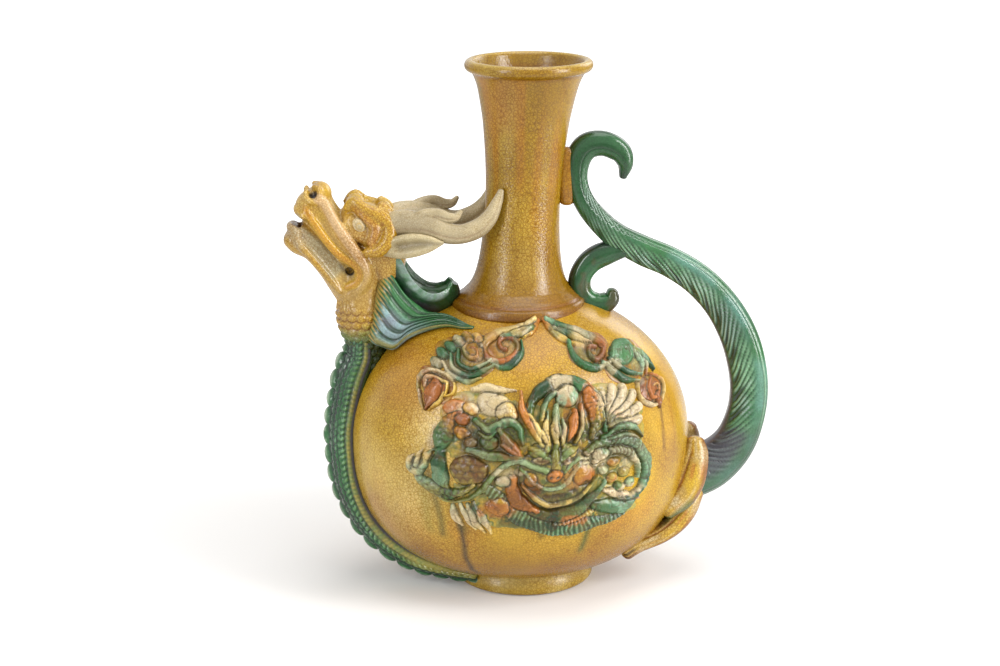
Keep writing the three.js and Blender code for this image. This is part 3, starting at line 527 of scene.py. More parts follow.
bodyRuns = [
    ([(-64, 88), (-60, 70), (-57, 58), (-55, 44)], 2.0, "darkGreen", 0.6),
    ([(-66, 78), (-64, 60), (-61, 46)], 2.6, "olive", 0.5),
    ([(-52, 70), (-46, 50), (-43, 34), (-37, 22), (-28, 15)], 1.5, "ink", 0.8),
    ([(-50, 69), (-47, 58), (-44, 48)], 3.0, "darkGreen", 0.5),
    ([(-58, 112), (-61, 104), (-62, 96)], 2.2, "lavender", 0.55),
    ([(10, 55), (11, 46)], 2.4, "green", 0.75),
    ([(22, 55), (20, 44), (18, 34)], 1.8, "green", 0.75),
    ([(36, 60), (35, 52)], 1.6, "green", 0.7),
    ([(67, 120), (68, 104), (69, 86)], 1.0, "brown", 0.75),
    ([(74, 118), (77, 96), (76, 78)], 1.3, "deepAmber", 0.8),
    ([(-5, 54), (-5, 46)], 1.8, "darkGreen", 0.6),
]


def makeBody():
    turn = 2 * np.pi * np.arange(body["columns"]) / body["columns"]
    outer = np.linspace(-np.pi / 2,
                        np.arccos((body["mouthRadius"] / body["halfWidth"]) ** (body["upper"] / 2)),
                        body["rows"])
    inner = outer[::-1][::body["innerStep"]]

    def profile(angle, grow):
        # u^n + v^n = 1, walked by the angle whose cosine and sine are u^(n/2) and v^(n/2)
        n = np.where(angle >= 0, body["upper"], body["lower"])
        reach = np.where(angle >= 0, upperReach, lowerReach)
        u = np.abs(np.cos(angle)) ** (2 / n)
        v = np.sign(angle) * np.abs(np.sin(angle)) ** (2 / n)
        slopeR = u ** (n - 1) / body["halfWidth"]
        slopeZ = np.sign(v) * np.abs(v) ** (n - 1) / reach
        size = np.hypot(slopeR, slopeZ)
        return (u * body["halfWidth"] + grow * slopeR / size,
                body["waist"] + v * reach + grow * slopeZ / size)

    radius, z = profile(outer, 0.0)
    innerRadius, innerZ = profile(inner, -body["wall"])
    radius = np.concatenate([radius, np.maximum(innerRadius, 0.02)])
    z = np.concatenate([z, innerZ])
    radius[0] = 0.02
    rings = np.stack([body["lean"] + radius[:, None] * np.cos(turn),
                      flattening * radius[:, None] * np.sin(turn), z[:, None] * np.ones(len(turn))], -1)
    tint = bodyTint(rings)
    tint = tint * mix(np.array([0.98, 0.96, 0.85]), [0.84, 0.76, 0.6], 1 - rise(rings[..., 2], 22, 72))
    putPiece("body", closedSkin(rings, tint), amberGlaze, ["body_front", "body_back"])


makeBody()


# neck and foot

neck = {
    "axisAtShoulder": -3.6, "lean": 0.042, "columns": 288, "rows": 320, "outsideRows": 190,
    "profile": [
        (30.5, 156.0), (37.3, 160.0), (37.7, 162.6), (37.4, 164.6), (36.4, 165.9), (34.9, 166.6),
        (34.3, 167.4), (32.6, 168.6), (31.6, 169.8), (29.6, 171.6), (27.7, 174.0), (25.9, 177.6),
        (24.3, 182.8), (22.9, 190.0), (22.0, 198.0), (21.3, 209.0), (20.9, 222.0), (21.1, 233.0),
        (21.7, 243.0), (22.7, 254.0), (24.1, 266.0), (25.9, 276.0), (28.0, 285.2), (30.0, 290.4),
        (31.1, 292.4), (31.8, 293.2), (33.7, 293.9), (35.0, 295.2), (35.4, 297.0), (34.9, 298.8),
        (33.6, 299.8), (32.2, 300.0), (30.9, 299.5), (29.9, 298.0), (29.0, 295.4), (27.2, 291.0),
        (24.4, 284.6), (21.0, 272.0), (18.4, 256.0), (17.0, 240.0), (17.0, 215.0), (17.8, 195.0),
        (18.9, 176.0), (18.9, 165.0), (18.9, 156.0)]}


def neckAxis(z):
    # x of the neck's middle, which leans a little to the right
    return neck["axisAtShoulder"] + (z - body["shoulder"]) * neck["lean"]


def turned(profile, columns, steps):
    # a profile of (radius, height) walked at even lengths and turned about the z axis
    closed = [(r, z, 0.0) for r, z in profile]
    t, _ = evenSteps(closed, steps)
    p = throughPoints(closed, t)
    turn = 2 * np.pi * np.arange(columns) / columns
    return np.stack([p[:, :1] * np.cos(turn), p[:, :1] * np.sin(turn), p[:, 1:2] * np.ones(columns)], -1)


def makeNeck():
    rings = turned(neck["profile"], neck["columns"], neck["rows"])
    # throwing rings near the collar
    z = rings[..., 2]
    outside = np.arange(len(rings))[:, None] < neck["outsideRows"]
    ripple = 0.12 * np.sin(z * 2.1) * bell(z, 170, 6) * outside
    rings[..., :2] *= (1 + ripple / np.linalg.norm(rings[..., :2], axis=-1))[..., None]
    rings[..., 0] += neckAxis(z)
    around = np.arctan2(-rings[..., 1], rings[..., 0] - neckAxis(z))
    runs = noiseOver(around * 22, z * 0.12, 5.0, 4)
    tint = glazeAndLightCoats(plain(rings, "amber"),
        ("deepAmber", 0.62 + 0.33 * rise(clouds(rings, 34, 5), 0.4, 0.7), [0.74, 0.8, 0.7]),
        ("paleAmber", 0.3 * rise(clouds(rings * [1, 1, 0.35], 26, 8), 0.5, 0.75)),
        ("orange", 0.42 * rise(runs, 0.5, 0.85) * rise(z, 170, 270) * (1 - rise(z, 290, 296))),
        ("deepAmber", 0.85 * (1 - rise(z, 168, 192)), 0.66),
        # under the collar, pooled glaze with the painted shadow of its step
        ("rust", 0.35 * (1 - rise(z, 162.4, 166)) * outside),
        ("rust", 0.6 * bell(z, 167.0, 0.7) * outside),
        ("rust", 0.45 * bell(z, 292.6, 1.1) * outside),
        ("paleAmber", 0.5 * rise(z, 298.6, 299.8)))
    tint = tint * mix(np.array([0.87, 0.86, 0.7]), [0.8, 0.72, 0.5], 1 - rise(z, 168, 176))
    putPiece("neck", ringSkin(rings, tint), amberGlaze, ["neck"])


foot = {
    "columns": 256, "rows": 110,
    "profile": [
        (33.2, 13.5), (32.5, 8.0), (33.0, 1.6), (34.0, 0.3), (35.6, 0.0), (37.4, 0.25), (38.9, 1.0),
        (39.8, 2.4), (40.0, 4.4), (39.6, 6.6), (38.9, 9.0), (38.4, 11.5), (38.0, 14.5), (36.0, 15.5),
        (34.2, 15.0)]}


def makeFoot():
    # the ring's profile turned about the z axis
    rings = turned(foot["profile"], foot["columns"], foot["rows"])
    z = rings[..., 2]
    tint = glazeAndLightCoats(plain(rings, "paleAmber") * 0.85,
        ("amber", 0.8 * rise(clouds(rings, 16, 6), 0.3, 0.6), 0.8),
        ("rust", 0.8 * rise(z, 10.4, 13.0)),
        ("rust", 0.5 * (1 - rise(z, 0.3, 1.6))))
    putPiece("footRing", ringSkin(rings, tint), amberGlaze, ["foot_ring"])


makeNeck()
makeFoot()


# tail handle

tail = {
    "crown": 62.0, "barbPitch": 4.9, "barbSlant": 15.0, "barbDepth": 1.25, "steps": 940, "sides": 92,
    "stations": [
        (55, 0, 234, 2.2, 3.4), (56, 0, 241.4, 4.6, 6), (52.6, 0, 248.4, 6.4, 6), (43.5, 0, 252.6, 7, 6),
        (34.4, 0, 251, 7.4, 6), (29.6, 0, 243.4, 7, 6), (29.4, 0, 232, 5.8, 6), (33, 0, 220.6, 6, 6.4),
        (41, 0, 209.8, 6.6, 6.8), (52, 0, 199.8, 7.4, 7.5), (67, 0, 191.4, 8.4, 7.5),
        (82.6, 0, 184.4, 8.6, 7.5), (98, 0, 174.4, 9.2, 7.5), (111, 0, 161, 9.8, 7.8),
        (120.6, 0, 145.6, 10.6, 8), (126.8, 0, 129, 11, 8.2), (129.8, 0, 110, 11, 8.6),
        (128, 0, 92, 11.2, 9), (121.2, 0, 75.4, 12.2, 10), (outlineX(1, 63.6, 16), 0, 63.6, 14.4, 12),
        (outlineX(1, 60), 0, 60, 17.5, 14.5), (outlineX(1, 60, -14), 0, 60, 17, 14)]}


def flatSided(power):
    # |cos|^p and |sin|^p with their signs: squarer than a circle below 1
    def outline(angle, share):
        u, v = np.cos(angle), np.sin(angle)
        return np.sign(u) * np.abs(u) ** power, np.sign(v) * np.abs(v) ** power
    return outline


def makeTail():
    form = carried(tail["stations"], tail["steps"], tail["sides"], flatSided(0.82))
    run, u, v = form["run"], form["u"], form["v"]
    face = rise(np.abs(v), 0.35, 0.75)
    # the smooth band: outer side of the curl, then the outer side of the big arc
    start = tail["crown"]
    curlBand = 1 - rise(run, start, start + 45)
    outer = curlBand * rise(u, -0.45, -0.1) + (1 - curlBand) * (1 - rise(u, -0.45, 0.05))
    feather = face * rise(run, start - 14, start + 6) * (1 - outer)
    # barbs slant back from the band to the inner edge, bent like commas and gathered in uneven lobes
    wander = noiseOver(run, 3 * v, 9.0, 2)
    phase = (run - tail["barbSlant"] * (u + 0.3 * u * np.abs(u)) + 2.4 * wander) / tail["barbPitch"]
    tooth = phase - np.floor(phase)
    lobe = phase / 2.6 + 0.3 * noiseOver(phase, 0, 2.5, 9)
    gather = (1 - np.sin(np.pi * (lobe - np.floor(lobe))) ** 0.6) * rise(u, 0.1, 0.8)
    barb = np.sin(np.pi * tooth ** 0.8) ** 0.6
    groove = (1 - barb) * (0.45 + 0.9 * noiseOver(np.floor(phase) * 3.7, 0, 1.0, 7))
    line = bell(u + (0.28 * curlBand + 0.72 * (1 - curlBand)), 0, 0.035)
    line = np.maximum(line, bell(u, -0.86, 0.03) * (1 - curlBand)) * face * rise(run, 8, 20)
    height = -tail["barbDepth"] * (groove + 0.9 * gather) * feather - 0.5 * line - 0.3 * feather
    rings = swollen(form, height)
    arc = rise(run, start + 30, start + 80)
    tint = glazeAndLightCoats(plain(rings, "green"),
        ("leaf", 0.5 * rise(clouds(rings, 24, 12), 0.4, 0.7)),
        ("darkGreen", 0.3 + 0.25 * (1 - arc)),
        # bluish pale glaze on the arc's outer band, with a painted sheen
        ("sky", 0.5 * arc * outer * rise(clouds(rings, 20, 4), 0.3, 0.65), [0.4, 0.7, 0.62]),
        # paler on the barbs, where the glaze breaks thin, and a painted highlight of sky on their crests
        ("mint", 0.65 * feather * rise(barb, 0.5, 1.0) * rise(clouds(rings, 22, 15), 0.3, 0.6)),
        ("sky", 0.5 * feather * rise(barb, 0.8, 1.0) * rise(clouds(rings, 12, 5), 0.45, 0.65)),
        ("darkGreen", 0.95 * feather * rise(groove + gather, 0.15, 0.6)),
        ("ink", 0.6 * feather * rise(gather, 0.3, 0.8)),
        ("darkGreen", 0.75 * line),
        ("darkGreen", 0.85 * rise(u, 0.8, 0.97) + 0.7 * (1 - arc) * rise(-u, 0.8, 0.97)),
        ("darkGreen", 0.7 * (1 - rise(run, start - 6, start + 34)) * bell(u, -0.1, 0.2)),
        ("green", 0.8 * arc * (1 - rise(u, -0.95, -0.88))),
        ("mint", 0.6 * arc * bell(u, -0.79, 0.04)))
    # the inner face of the arc and the root are greyish lavender, where the glaze ran thin over the slip
    root = rise(run + 14 * cloud(rings, 9, 3), form["length"] - 66, form["length"] - 46)
    tint = glazeAndLightCoats(tint,
        ("lavender", 0.85 * root * rise(u, -0.7, 0.1), 0.3),
        (glaze["darkGreen"] + glaze["lavender"] * 0.12, 0.8 * root * (1 - rise(u, -0.8, -0.1))),
        ("lavender", 0.8 * rise(u, 0.9, 0.97) * rise(run, start + 60, start + 110), 0.55),
        ("ink", 0.6 * (1 - rise(run, 0, 6))))
    putPiece("tailHandle", closedSkin(rings, tint), greenGlaze, ["tail_handle"])


lowerCurl = {
    "steps": 260, "sides": 64,
    "stations": [
        (63, 0, 193.6, 3, 5), (47, 0, 190.4, 6.6, 6), (37.4, 0, 185.6, 6.8, 6), (31.8, 0, 177.4, 6.4, 6),
        (31.6, 0, 168.6, 6.6, 6), (36, 0, 162.4, 6.8, 6), (43, 0, 160.6, 6.4, 6), (49, 0, 163.6, 5, 6),
        (50, 0, 167.6, 3.2, 4.6)]}


def makeLowerCurl():
    # a squarish section carried round the curl
    form = carried(lowerCurl["stations"], lowerCurl["steps"], lowerCurl["sides"], flatSided(0.86))
    run, u, v = form["run"], form["u"], form["v"]
    face = rise(np.abs(v), 0.35, 0.75)
    line = bell(u, -0.3, 0.06) * face * rise(run, 6, 16) * (1 - rise(run, 62, 74))
    rings = swollen(form, -0.5 * line)
    tint = glazeAndLightCoats(plain(rings, "green"),
        ("darkGreen", 0.68 + 0.27 * rise(clouds(rings, 16, 3), 0.3, 0.6)),
        ("leaf", 0.2 * rise(-u, 0.0, 0.8) * rise(run, 10, 30)),
        ("brown", 0.5 * rise(clouds(rings, 9, 14), 0.5, 0.65), 0.5),
        ("darkGreen", 0.8 * line),
        ("ink", 0.55 * rise(u, 0.5, 0.95)))
    putPiece("tailLowerCurl", closedSkin(rings, tint), greenGlaze, ["tail_lower_curl"])


bridge = {"height": 235, "out": 24.1, "steps": 70, "sides": 40,
          "levels": [(221, 4.4, 4.6), (229, 5.6, 5.2), (241, 5.6, 5.2), (248, 4.4, 4.6)]}


def makeBridge():
    x = neckAxis(bridge["height"]) + bridge["out"]
    stations = [(x, 0, *level) for level in bridge["levels"]]
    form = carried(stations, bridge["steps"], bridge["sides"], flatSided(0.85))
    rings = form["rings"]
    tint = glazeAndLightCoats(plain(rings, "deepAmber"),
        ("rust", 0.25 * rise(clouds(rings, 6, 3), 0.3, 0.7)),
        ("brown", 0.4 * rise(rings[..., 0], x - 1, x + 4)))
    putPiece("neckBridge", closedSkin(rings, tint), amberGlaze, ["neck_bridge"])


makeTail()
makeLowerCurl()
makeBridge()


# drawn curves

def nearCurve(q, path):
    # distance from each point to a curve through drawn points,
    # which side of it, and the share and length along it
    path = np.asarray(path, float)
    p = throughPoints(path, np.linspace(0, 1, 8 * len(path)))
    step = np.diff(p, axis=0)
    length = np.linalg.norm(step, axis=1)
    part = np.clip(np.sum((q[:, None] - p[:-1]) * step, -1) / np.maximum(length ** 2, 1e-9), 0, 1)
    gap = q[:, None] - p[:-1] - part[..., None] * step
    distance = np.linalg.norm(gap, axis=-1)
    k = np.argmin(distance, 1)
    row = np.arange(len(q))
    side = np.sign(step[k, 0] * gap[row, k, 1] - step[k, 1] * gap[row, k, 0])
    run = np.concatenate([[0], np.cumsum(length)])[k] + part[row, k] * length[k]
    return distance[row, k], side, run / length.sum(), run


# relief: sprigs are sheets over the body whose height and glaze are drawn stroke by stroke

def sprigSheet(outline, columns, rows, wobble):
    # across = left + (right - left) * s, with the two edges drawn as (height, left, right)
    drawn = np.asarray(outline, float)
    z = np.linspace(drawn[0, 0], drawn[-1, 0], rows)[:, None] * np.ones(columns)
    left = np.interp(z, drawn[:, 0], drawn[:, 1])
    right = np.interp(z, drawn[:, 0], drawn[:, 2])
    across = left + (right - left) * np.linspace(0, 1, columns)
    # strokes are drawn in coordinates pushed about by noise,
    # so that nothing in the relief is drawn by rule
    q = np.stack([across, 0 * z, z], -1)
    push = [wobble * (2.2 * (cloud(q, 7.5, seed) - 0.5) + 0.8 * (cloud(q, 3.2, seed + 1) - 0.5))
            for seed in (41, 43)]
    return {"laid": (across, z), "across": across + push[0], "z": z + push[1],
            "height": np.full(across.shape, -1.0), "tint": np.ones(across.shape + (3,)) * glaze["amber"]}


def colourAlong(names, share):
    # one glaze, or several that run into each other along the stroke
    stops = np.array([glaze[name] for name in names.split()])
    place = np.clip(share, 0, 1) * (len(stops) - 1)
    i = np.minimum(place.astype(int), max(len(stops) - 2, 0))
    return mix(stops[i], stops[np.minimum(i + 1, len(stops) - 1)], place - i)


def addShape(sheet, near, part, lift, colour, edge, stack):
    # part runs from 1 at the crest to 0 at the rim and below
    # it outside; the rim is cut in with dark glaze
    height, tint = sheet["height"][near], sheet["tint"][near]
    inside = part > 0
    raised = lift * np.sqrt(np.clip(part, 0, 1)) + stack * np.maximum(height, 0)
    around = (1 - rise(-part, 0.0, 0.4)) * ~inside
    rim = 1 - rise(part, 0.02, 0.3)
    sheet["height"][near] = np.where(inside, raised, height - 0.55 * around * (height > 0))
    drawn = mix(colour, glaze[edge], 0.8 * rim)
    sheet["tint"][near] = np.where(inside[:, None], drawn, mix(tint, glaze[edge], 0.65 * around))


def ridge(sheet, path, width, lift, colour, edge="darkGreen", thin=(0.6, 0.35), comb=0.0, scales=0.0,
          stack=0.35):
    # a rounded ridge along a curve: part = 1 - (distance / width)^2, narrower towards its ends
    across, z = sheet["across"], sheet["z"]
    drawn = np.asarray(path, float)
    reach = width * 1.3 + 1
    near = ((across > drawn[:, 0].min() - reach) & (across < drawn[:, 0].max() + reach)
            & (z > drawn[:, 1].min() - reach) & (z < drawn[:, 1].max() + reach))
    q = np.stack([across[near], z[near]], -1)
    distance, side, share, run = nearCurve(q, path)
    local = width * (1 - (1 - thin[0]) * (1 - rise(share, 0, 0.3)) - (1 - thin[1]) * rise(share, 0.55, 1))
    part = 1 - (distance / local) ** 2
    ink = colourAlong(colour, share)
    rib = 0
    if comb:
        tooth = 0.5 + 0.5 * np.cos(2 * np.pi * (run / comb + 0.5 * side * distance / width))
        ink = mix(ink, glaze["mint"] * 1.15, 0.55 * rise(tooth, 0.55, 0.95))
        ink = mix(ink, glaze["darkGreen"], 0.65 * (1 - rise(tooth, 0.05, 0.4)))
        rib = 0.7 * (tooth - 0.5)
    if scales:
        u, v = run / scales, side * distance / scales
        u = u + 0.5 * (np.floor(v) % 2)
        bow = np.hypot(u - np.floor(u), (v - np.floor(v) - 0.5) * 1.4)
        ink = mix(ink, glaze["ink"], 0.7 * bell(bow, 0.82, 0.13))
        rib = 0.45 * (1 - rise(bow, 0.4, 0.9))
    addShape(sheet, near, part, lift, ink, edge, stack)
    sheet["height"][near] += rib * (part > 0.1)


def boss(sheet, centre, radii, lift, colour, edge="darkGreen", rough=0.0, stack=0.3, cells=0.0):
    # a rounded boss: part = 1 - (x / a)^2 - (z / b)^2, its rim roughened by noise
    x = (sheet["across"] - centre[0]) / radii[0]
    y = (sheet["z"] - centre[1]) / radii[1]
    near = np.hypot(x, y) < 1.5
    part = 1 - x[near] ** 2 - y[near] ** 2
    q = np.stack([sheet["across"][near], 0 * part, sheet["z"][near]], -1)
    part = part + rough * (clouds(q, 5.0, 3) - 0.5) * 2.2
    ink = colourAlong(colour, clouds(q, 4.5, 7) * 2 - 0.5)
    rib = 0
    if cells:
        bow = scaleBow(q[:, 0] / cells, q[:, 2] / cells * 1.15)
        ink = mix(ink, glaze["ink"], 0.75 * bell(bow, 0.86, 0.14))
        rib = 0.5 * (1 - rise(bow, 0.4, 0.95)) * (part > 0.1)
    addShape(sheet, near, part, lift, ink, edge, stack)
    sheet["height"][near] += rib


def pit(sheet, centre, radii, depth, colour="ink"):
    # a hollow painted ink, as painted shade: depth * exp(-r^2)
    r = ((sheet["across"] - centre[0]) / radii[0]) ** 2 + ((sheet["z"] - centre[1]) / radii[1]) ** 2
    sheet["height"] -= depth * np.exp(-r)
    sheet["tint"] = mix(sheet["tint"], glaze[colour], np.exp(-r ** 1.5))


def blurred(field, times):
    # the mean of each point and its four neighbours, many times over
    for _ in range(times):
        wide = np.pad(field, 1, mode="edge")
        field = (field + wide[2:, 1:-1] + wide[:-2, 1:-1] + wide[1:-1, 2:] + wide[1:-1, :-2]) / 5
    return field


def splashShadeAndHighlight(sheet, splashes):
    # glazes splashed over the relief, ragged and running down, each strongest at its
    # middle; then painted shade in the hollows and a painted highlight on the crests
    across, z = sheet["laid"]
    q = np.stack([across, 0 * z, z], -1)
    ragged = 0.6 * clouds(q * [1, 1, 0.6], 6.0, 23) + 0.4 * cloud(q * [1, 1, 0.6], 1.9, 29)
    fold = 1 - np.abs(2 * clouds(q, 5.5, 37) - 1)
    raised = rise(sheet["height"], 0.2, 1.2)
    height = blurred(sheet["height"], 1) - 0.3 * rise(fold, 0.9, 0.99) * raised
    hollow = blurred(height, 14) - height
    tint = sheet["tint"]
    for x, y, a, b, name, strength in splashes:
        r = np.hypot((across - x) / a, (z - y) / b)
        share = strength * rise(1.25 - r + 1.5 * (ragged - 0.5), 0.1, 0.5)
        tint = mix(tint, glaze[name], share * (0.35 + 0.65 * raised))
    tint = glazeAndLightCoats(tint,
        # a painted highlight on the crests
        (tint * 1.35 + 0.03, 0.8 * rise(-hollow, 0.1, 0.55) * raised),
        ("rust", 0.35 * rise(fold, 0.92, 0.98) * raised, 0.5),
        # painted shade in the hollows
        (glaze["brown"] * 0.4 + glaze["darkGreen"] * 0.7, 0.9 * rise(hollow, 0.06, 0.4) * raised))
    sheet["tint"] = tint * mix(np.ones(3), [0.78, 0.76, 0.74], raised)
    sheet["height"] = height + 0.16 * (clouds(q, 1.6, 31) - 0.5) * raised


def laySprig(name, sheet, turn, node):
    # the sheet laid on the body; its border is closed to one point below the body's skin
    across, z = sheet["laid"]
    rows, columns = across.shape
    face = onBody(across, z, sheet["height"], turn)
    middle = onBody(across.mean(), z.mean(), -2.0, turn)
    index = np.arange(rows * columns).reshape(rows, columns)
    border = np.concatenate([index[0, :-1], index[:-1, -1], index[-1, :0:-1], index[:0:-1, 0]])
    fan = np.stack([np.full(len(border), rows * columns), np.roll(border, -1), border], -1)
    points = np.vstack([face.reshape(-1, 3), middle])
    tint = np.vstack([sheet["tint"].reshape(-1, 3), glaze["amber"]])
    putPiece(name, (points, [sheetFaces(rows, columns, False), fan], tint), reliefGlaze,
             [node])


medallion = {
    "outline": [
        (49, -40, 38), (56, -53, 53), (64, -60, 61), (72, -68, 65), (80, -75, 67), (88, -80, 67),
        (98, -78, 66), (104, -67, 63), (114, -61, 60), (124, -57, 58), (131, -48, 50), (138, -40, 30)],
    "columns": 330, "rows": 212, "wobble": 1.0,
    "splashes": [
        (-2, 92, 60, 40, "deepAmber", 0.22), (7, 133, 7, 6, "cream", 0.9), (36, 125, 12, 9, "cream", 0.7),
        (23, 94, 9, 5, "cream", 0.7), (-35, 132, 13, 4, "cream", 0.7), (-73, 90, 10, 9, "cream", 0.45),
        (-31, 124, 11, 6, "cream", 0.8), (-46, 62, 9, 7, "cream", 0.6), (45, 89, 5, 4, "cream", 0.7),
        (43, 74, 9, 3.4, "cream", 0.8), (-4, 112, 5, 8, "paleAmber", 0.7), (-24, 89, 8, 3, "cream", 0.7),
        (-60, 84, 8, 7, "mint", 0.6), (-6, 130, 9, 7, "darkGreen", 0.8), (-22, 110, 10, 6, "green", 0.8),
        (30, 109, 13, 8, "green", 0.65), (38, 99, 10, 8, "darkGreen", 0.5),
        (18, 73, 13, 5, "darkGreen", 0.7), (-16, 58, 13, 5, "darkGreen", 0.7),
        (31, 64, 10, 5, "green", 0.7), (-57, 105, 7, 8, "green", 0.8), (-41, 106, 6, 5, "darkGreen", 0.7),
        (-52, 124, 9, 7, "orange", 0.7), (-31, 68, 9, 5, "orange", 0.7), (-13, 80, 6, 8, "rust", 0.75),
        (-23, 103, 8, 6, "rust", 0.6), (20, 124, 5, 10, "orange", 0.8), (10, 117, 3, 8, "orange", 0.7),
        (13, 86, 9, 6, "orange", 0.45), (10, 61, 9, 3.4, "orange", 0.7), (-44, 91, 9, 7, "brown", 0.5),
        (-15, 124, 3.4, 8, "orange", 0.7), (52, 84, 5, 10, "mint", 0.5), (-63, 76, 9, 4, "olive", 0.5),
        (-48, 112, 6, 6, "rust", 0.4), (0.5, 70, 2.6, 9, "ink", 0.5), (1, 60, 4, 6, "darkGreen", 0.8),
        (52, 68, 5, 4, "mint", 0.5), (26, 80, 6, 4, "green", 0.5)]}


def drawMedallion():
    sheet = sprigSheet(medallion["outline"], medallion["columns"], medallion["rows"], medallion["wobble"])
    line, lump = partial(ridge, sheet), partial(boss, sheet)
    # the slip ground, with a ragged edge
    for centre, radii in [((-4, 92), (50, 33)), ((-34, 110), (24, 22)), ((26, 106), (30, 27)),
                          ((-18, 66), (26, 11)), ((20, 63), (30, 9))]:
        lump(centre, radii, 1.2, "olive amber green paleAmber", rough=0.14, stack=0, edge="olive")
    # beard
    line([(-34, 79), (-26, 71), (-17.7, 65), (-9.8, 60.4), (0.4, 57), (10.6, 56), (21, 56.8), (31, 57.4),
          (41, 60)], 6.0, 2.4, "green leaf green darkGreen", comb=2.5)
    line([(2, 60), (12.2, 62.4), (23, 65)], 3.2, 3.2, "orange amber", comb=2.0, edge="rust")
    line([(-11, 67.5), (-1.1, 64.5), (7, 64.6), (16, 68.4), (24, 75), (29, 81)], 4.0, 3.2,
         "darkGreen green mint")
    line([(24, 68), (33, 65.5), (43, 64.5), (50, 69)], 4.6, 2.6, "green mint green")
    line([(29, 76), (36, 73), (44, 70), (49.5, 68)], 2.8, 3.4, "cream cream orange")
    lump((-28.5, 69), (6.2, 5.6), 2.8, "orange amber rust", rough=0.15, edge="rust")
    for path in ([(-47, 70), (-44.5, 62), (-39, 54.5)], [(-43, 70), (-41, 60.5), (-35.5, 53.5)],
                 [(-51, 69), (-50.5, 62), (-45.5, 56)], [(-38, 67), (-36, 60), (-31.5, 53)]):
        line(path, 2.0, 1.8, "mint cream paleAmber")
    line([(-41, 72), (-39, 66), (-37.5, 60)], 1.3, 2.2, "darkGreen green")
    # coil on the right, with a shell and leaves over it
    line([(19, 98), (26.4, 102), (37.3, 103.4), (47.4, 99.2), (54, 90.4), (55.6, 80.4), (52, 72.8),
          (44.5, 69.7), (36.5, 70.5)], 3.6, 3.6, "green mint green darkGreen", scales=3.2)
    line([(23, 93), (33.9, 97.6), (42.8, 95.5), (48.3, 88.5), (49, 80)], 2.5, 3.9, "cream cream mint",
         comb=2.4)
    for centre, radii, colour in [((34.9, 91), (4, 3), "olive orange"),
                                  ((40.8, 84.6), (3.6, 3.2), "leaf olive"),
                                  ((45, 78), (3, 3.4), "mint green"),
                                  ((33.4, 82), (4, 3.4), "orange olive"),
                                  ((28, 88), (3, 3), "cream mint"),
                                  ((38.4, 76.4), (4, 2.6), "green leaf")]:
        lump(centre, radii, 3.0, colour, rough=0.1)
    for tip in [(29.5, 125.5), (36, 128), (42.5, 127), (48, 123), (51.3, 117), (50.6, 110.5)]:
        line([(30.5, 110.5), ((30.5 + tip[0]) / 2 + 0.8, (110.5 + tip[1]) / 2), tip], 3.3, 3.2,
             "orange cream cream", thin=(0.35, 0.9), edge="paleAmber")
    line([(28.5, 105.6), (37.8, 109.4), (46.7, 107.5), (52.5, 101.5)], 2.3, 3.6, "green mint darkGreen")
    line([(31, 104), (40, 105.5), (49, 101.5)], 1.5, 4.2, "mint cream")
    # arch over the brow, the tongue of flame under it
    line([(-11, 120), (-9, 126), (-3.8, 131), (4.6, 134), (13.8, 133.6), (22.4, 129.4), (28, 121),
          (29.2, 109)], 3.5, 3.4, "green darkGreen leaf green")
    line([(-5, 117), (-3.5, 123), (1, 128), (8, 130.4)], 2.0, 4.0, "green mint")
    line([(21, 128.5), (25, 120), (24.6, 113), (22, 106)], 4.6, 3.8, "orange amber orange", scales=2.6,
         edge="rust")
    lump((9.9, 127), (6.6, 5.6), 4.6, "cream mint cream")
    line([(4, 123), (2.6, 115), (4.5, 105)], 2.2, 4.4, "mint darkGreen")
    line([(17.5, 122), (16.4, 113), (12.5, 104)], 1.8, 4.4, "cream olive")
    line([(12.8, 119.5), (11.6, 113), (8.8, 105)], 2.9, 5.4, "orange orange rust", edge="brown")
    # blocks and blossoms at the upper left
    lump((-29, 124), (9.5, 6.6), 2.8, "cream paleAmber", rough=0.1, edge="olive")
    line([(-38.5, 130.5), (-30.2, 131.8), (-22.8, 131.4), (-16.8, 131.2)], 2.2, 3.0, "paleAmber cream",
         edge="brown")
    lump((-22.6, 119.6), (5.8, 5.4), 3.8, "cream paleAmber cream", edge="ink")
    lump((-48.4, 120.5), (6, 5.2), 3.0, "orange cream orange", rough=0.12, edge="rust")
    lump((-41, 121.5), (4.2, 4), 3.4, "orange paleAmber", rough=0.1, edge="rust")
    line([(-57.5, 98.8), (-56.4, 105), (-52, 113), (-46.5, 118.5)], 4.4, 3.2, "green olive orange",
         scales=3.0)
    for centre, colour in [((-44.6, 115.4), "orange rust"), ((-46.4, 108.6), "amber orange"),
                           ((-42, 103.6), "orange cream")]:
        lump(centre, (3.7, 3.5), 3.4, colour, edge="brown", rough=0.1)
    line([(-38.5, 115.5), (-33, 111.4), (-27, 113.5), (-22, 115.4), (-17.5, 112.4), (-15.8, 104)], 2.5,
         3.8, "green mint darkGreen")
    lump((-33, 105), (5.4, 4.2), 3.2, "leaf green", rough=0.1)
    line([(-38, 109.5), (-33.4, 108), (-29, 110.5)], 1.4, 4.0, "darkGreen leaf")
    line([(-27, 111), (-22, 104), (-15.6, 97.4)], 3.3, 4.2, "orange rust orange", thin=(0.5, 0.2),
         edge="ink")
    line([(-26.5, 104), (-21.5, 100), (-16.2, 97)], 1.5, 4.6, "rust orange", edge="ink")
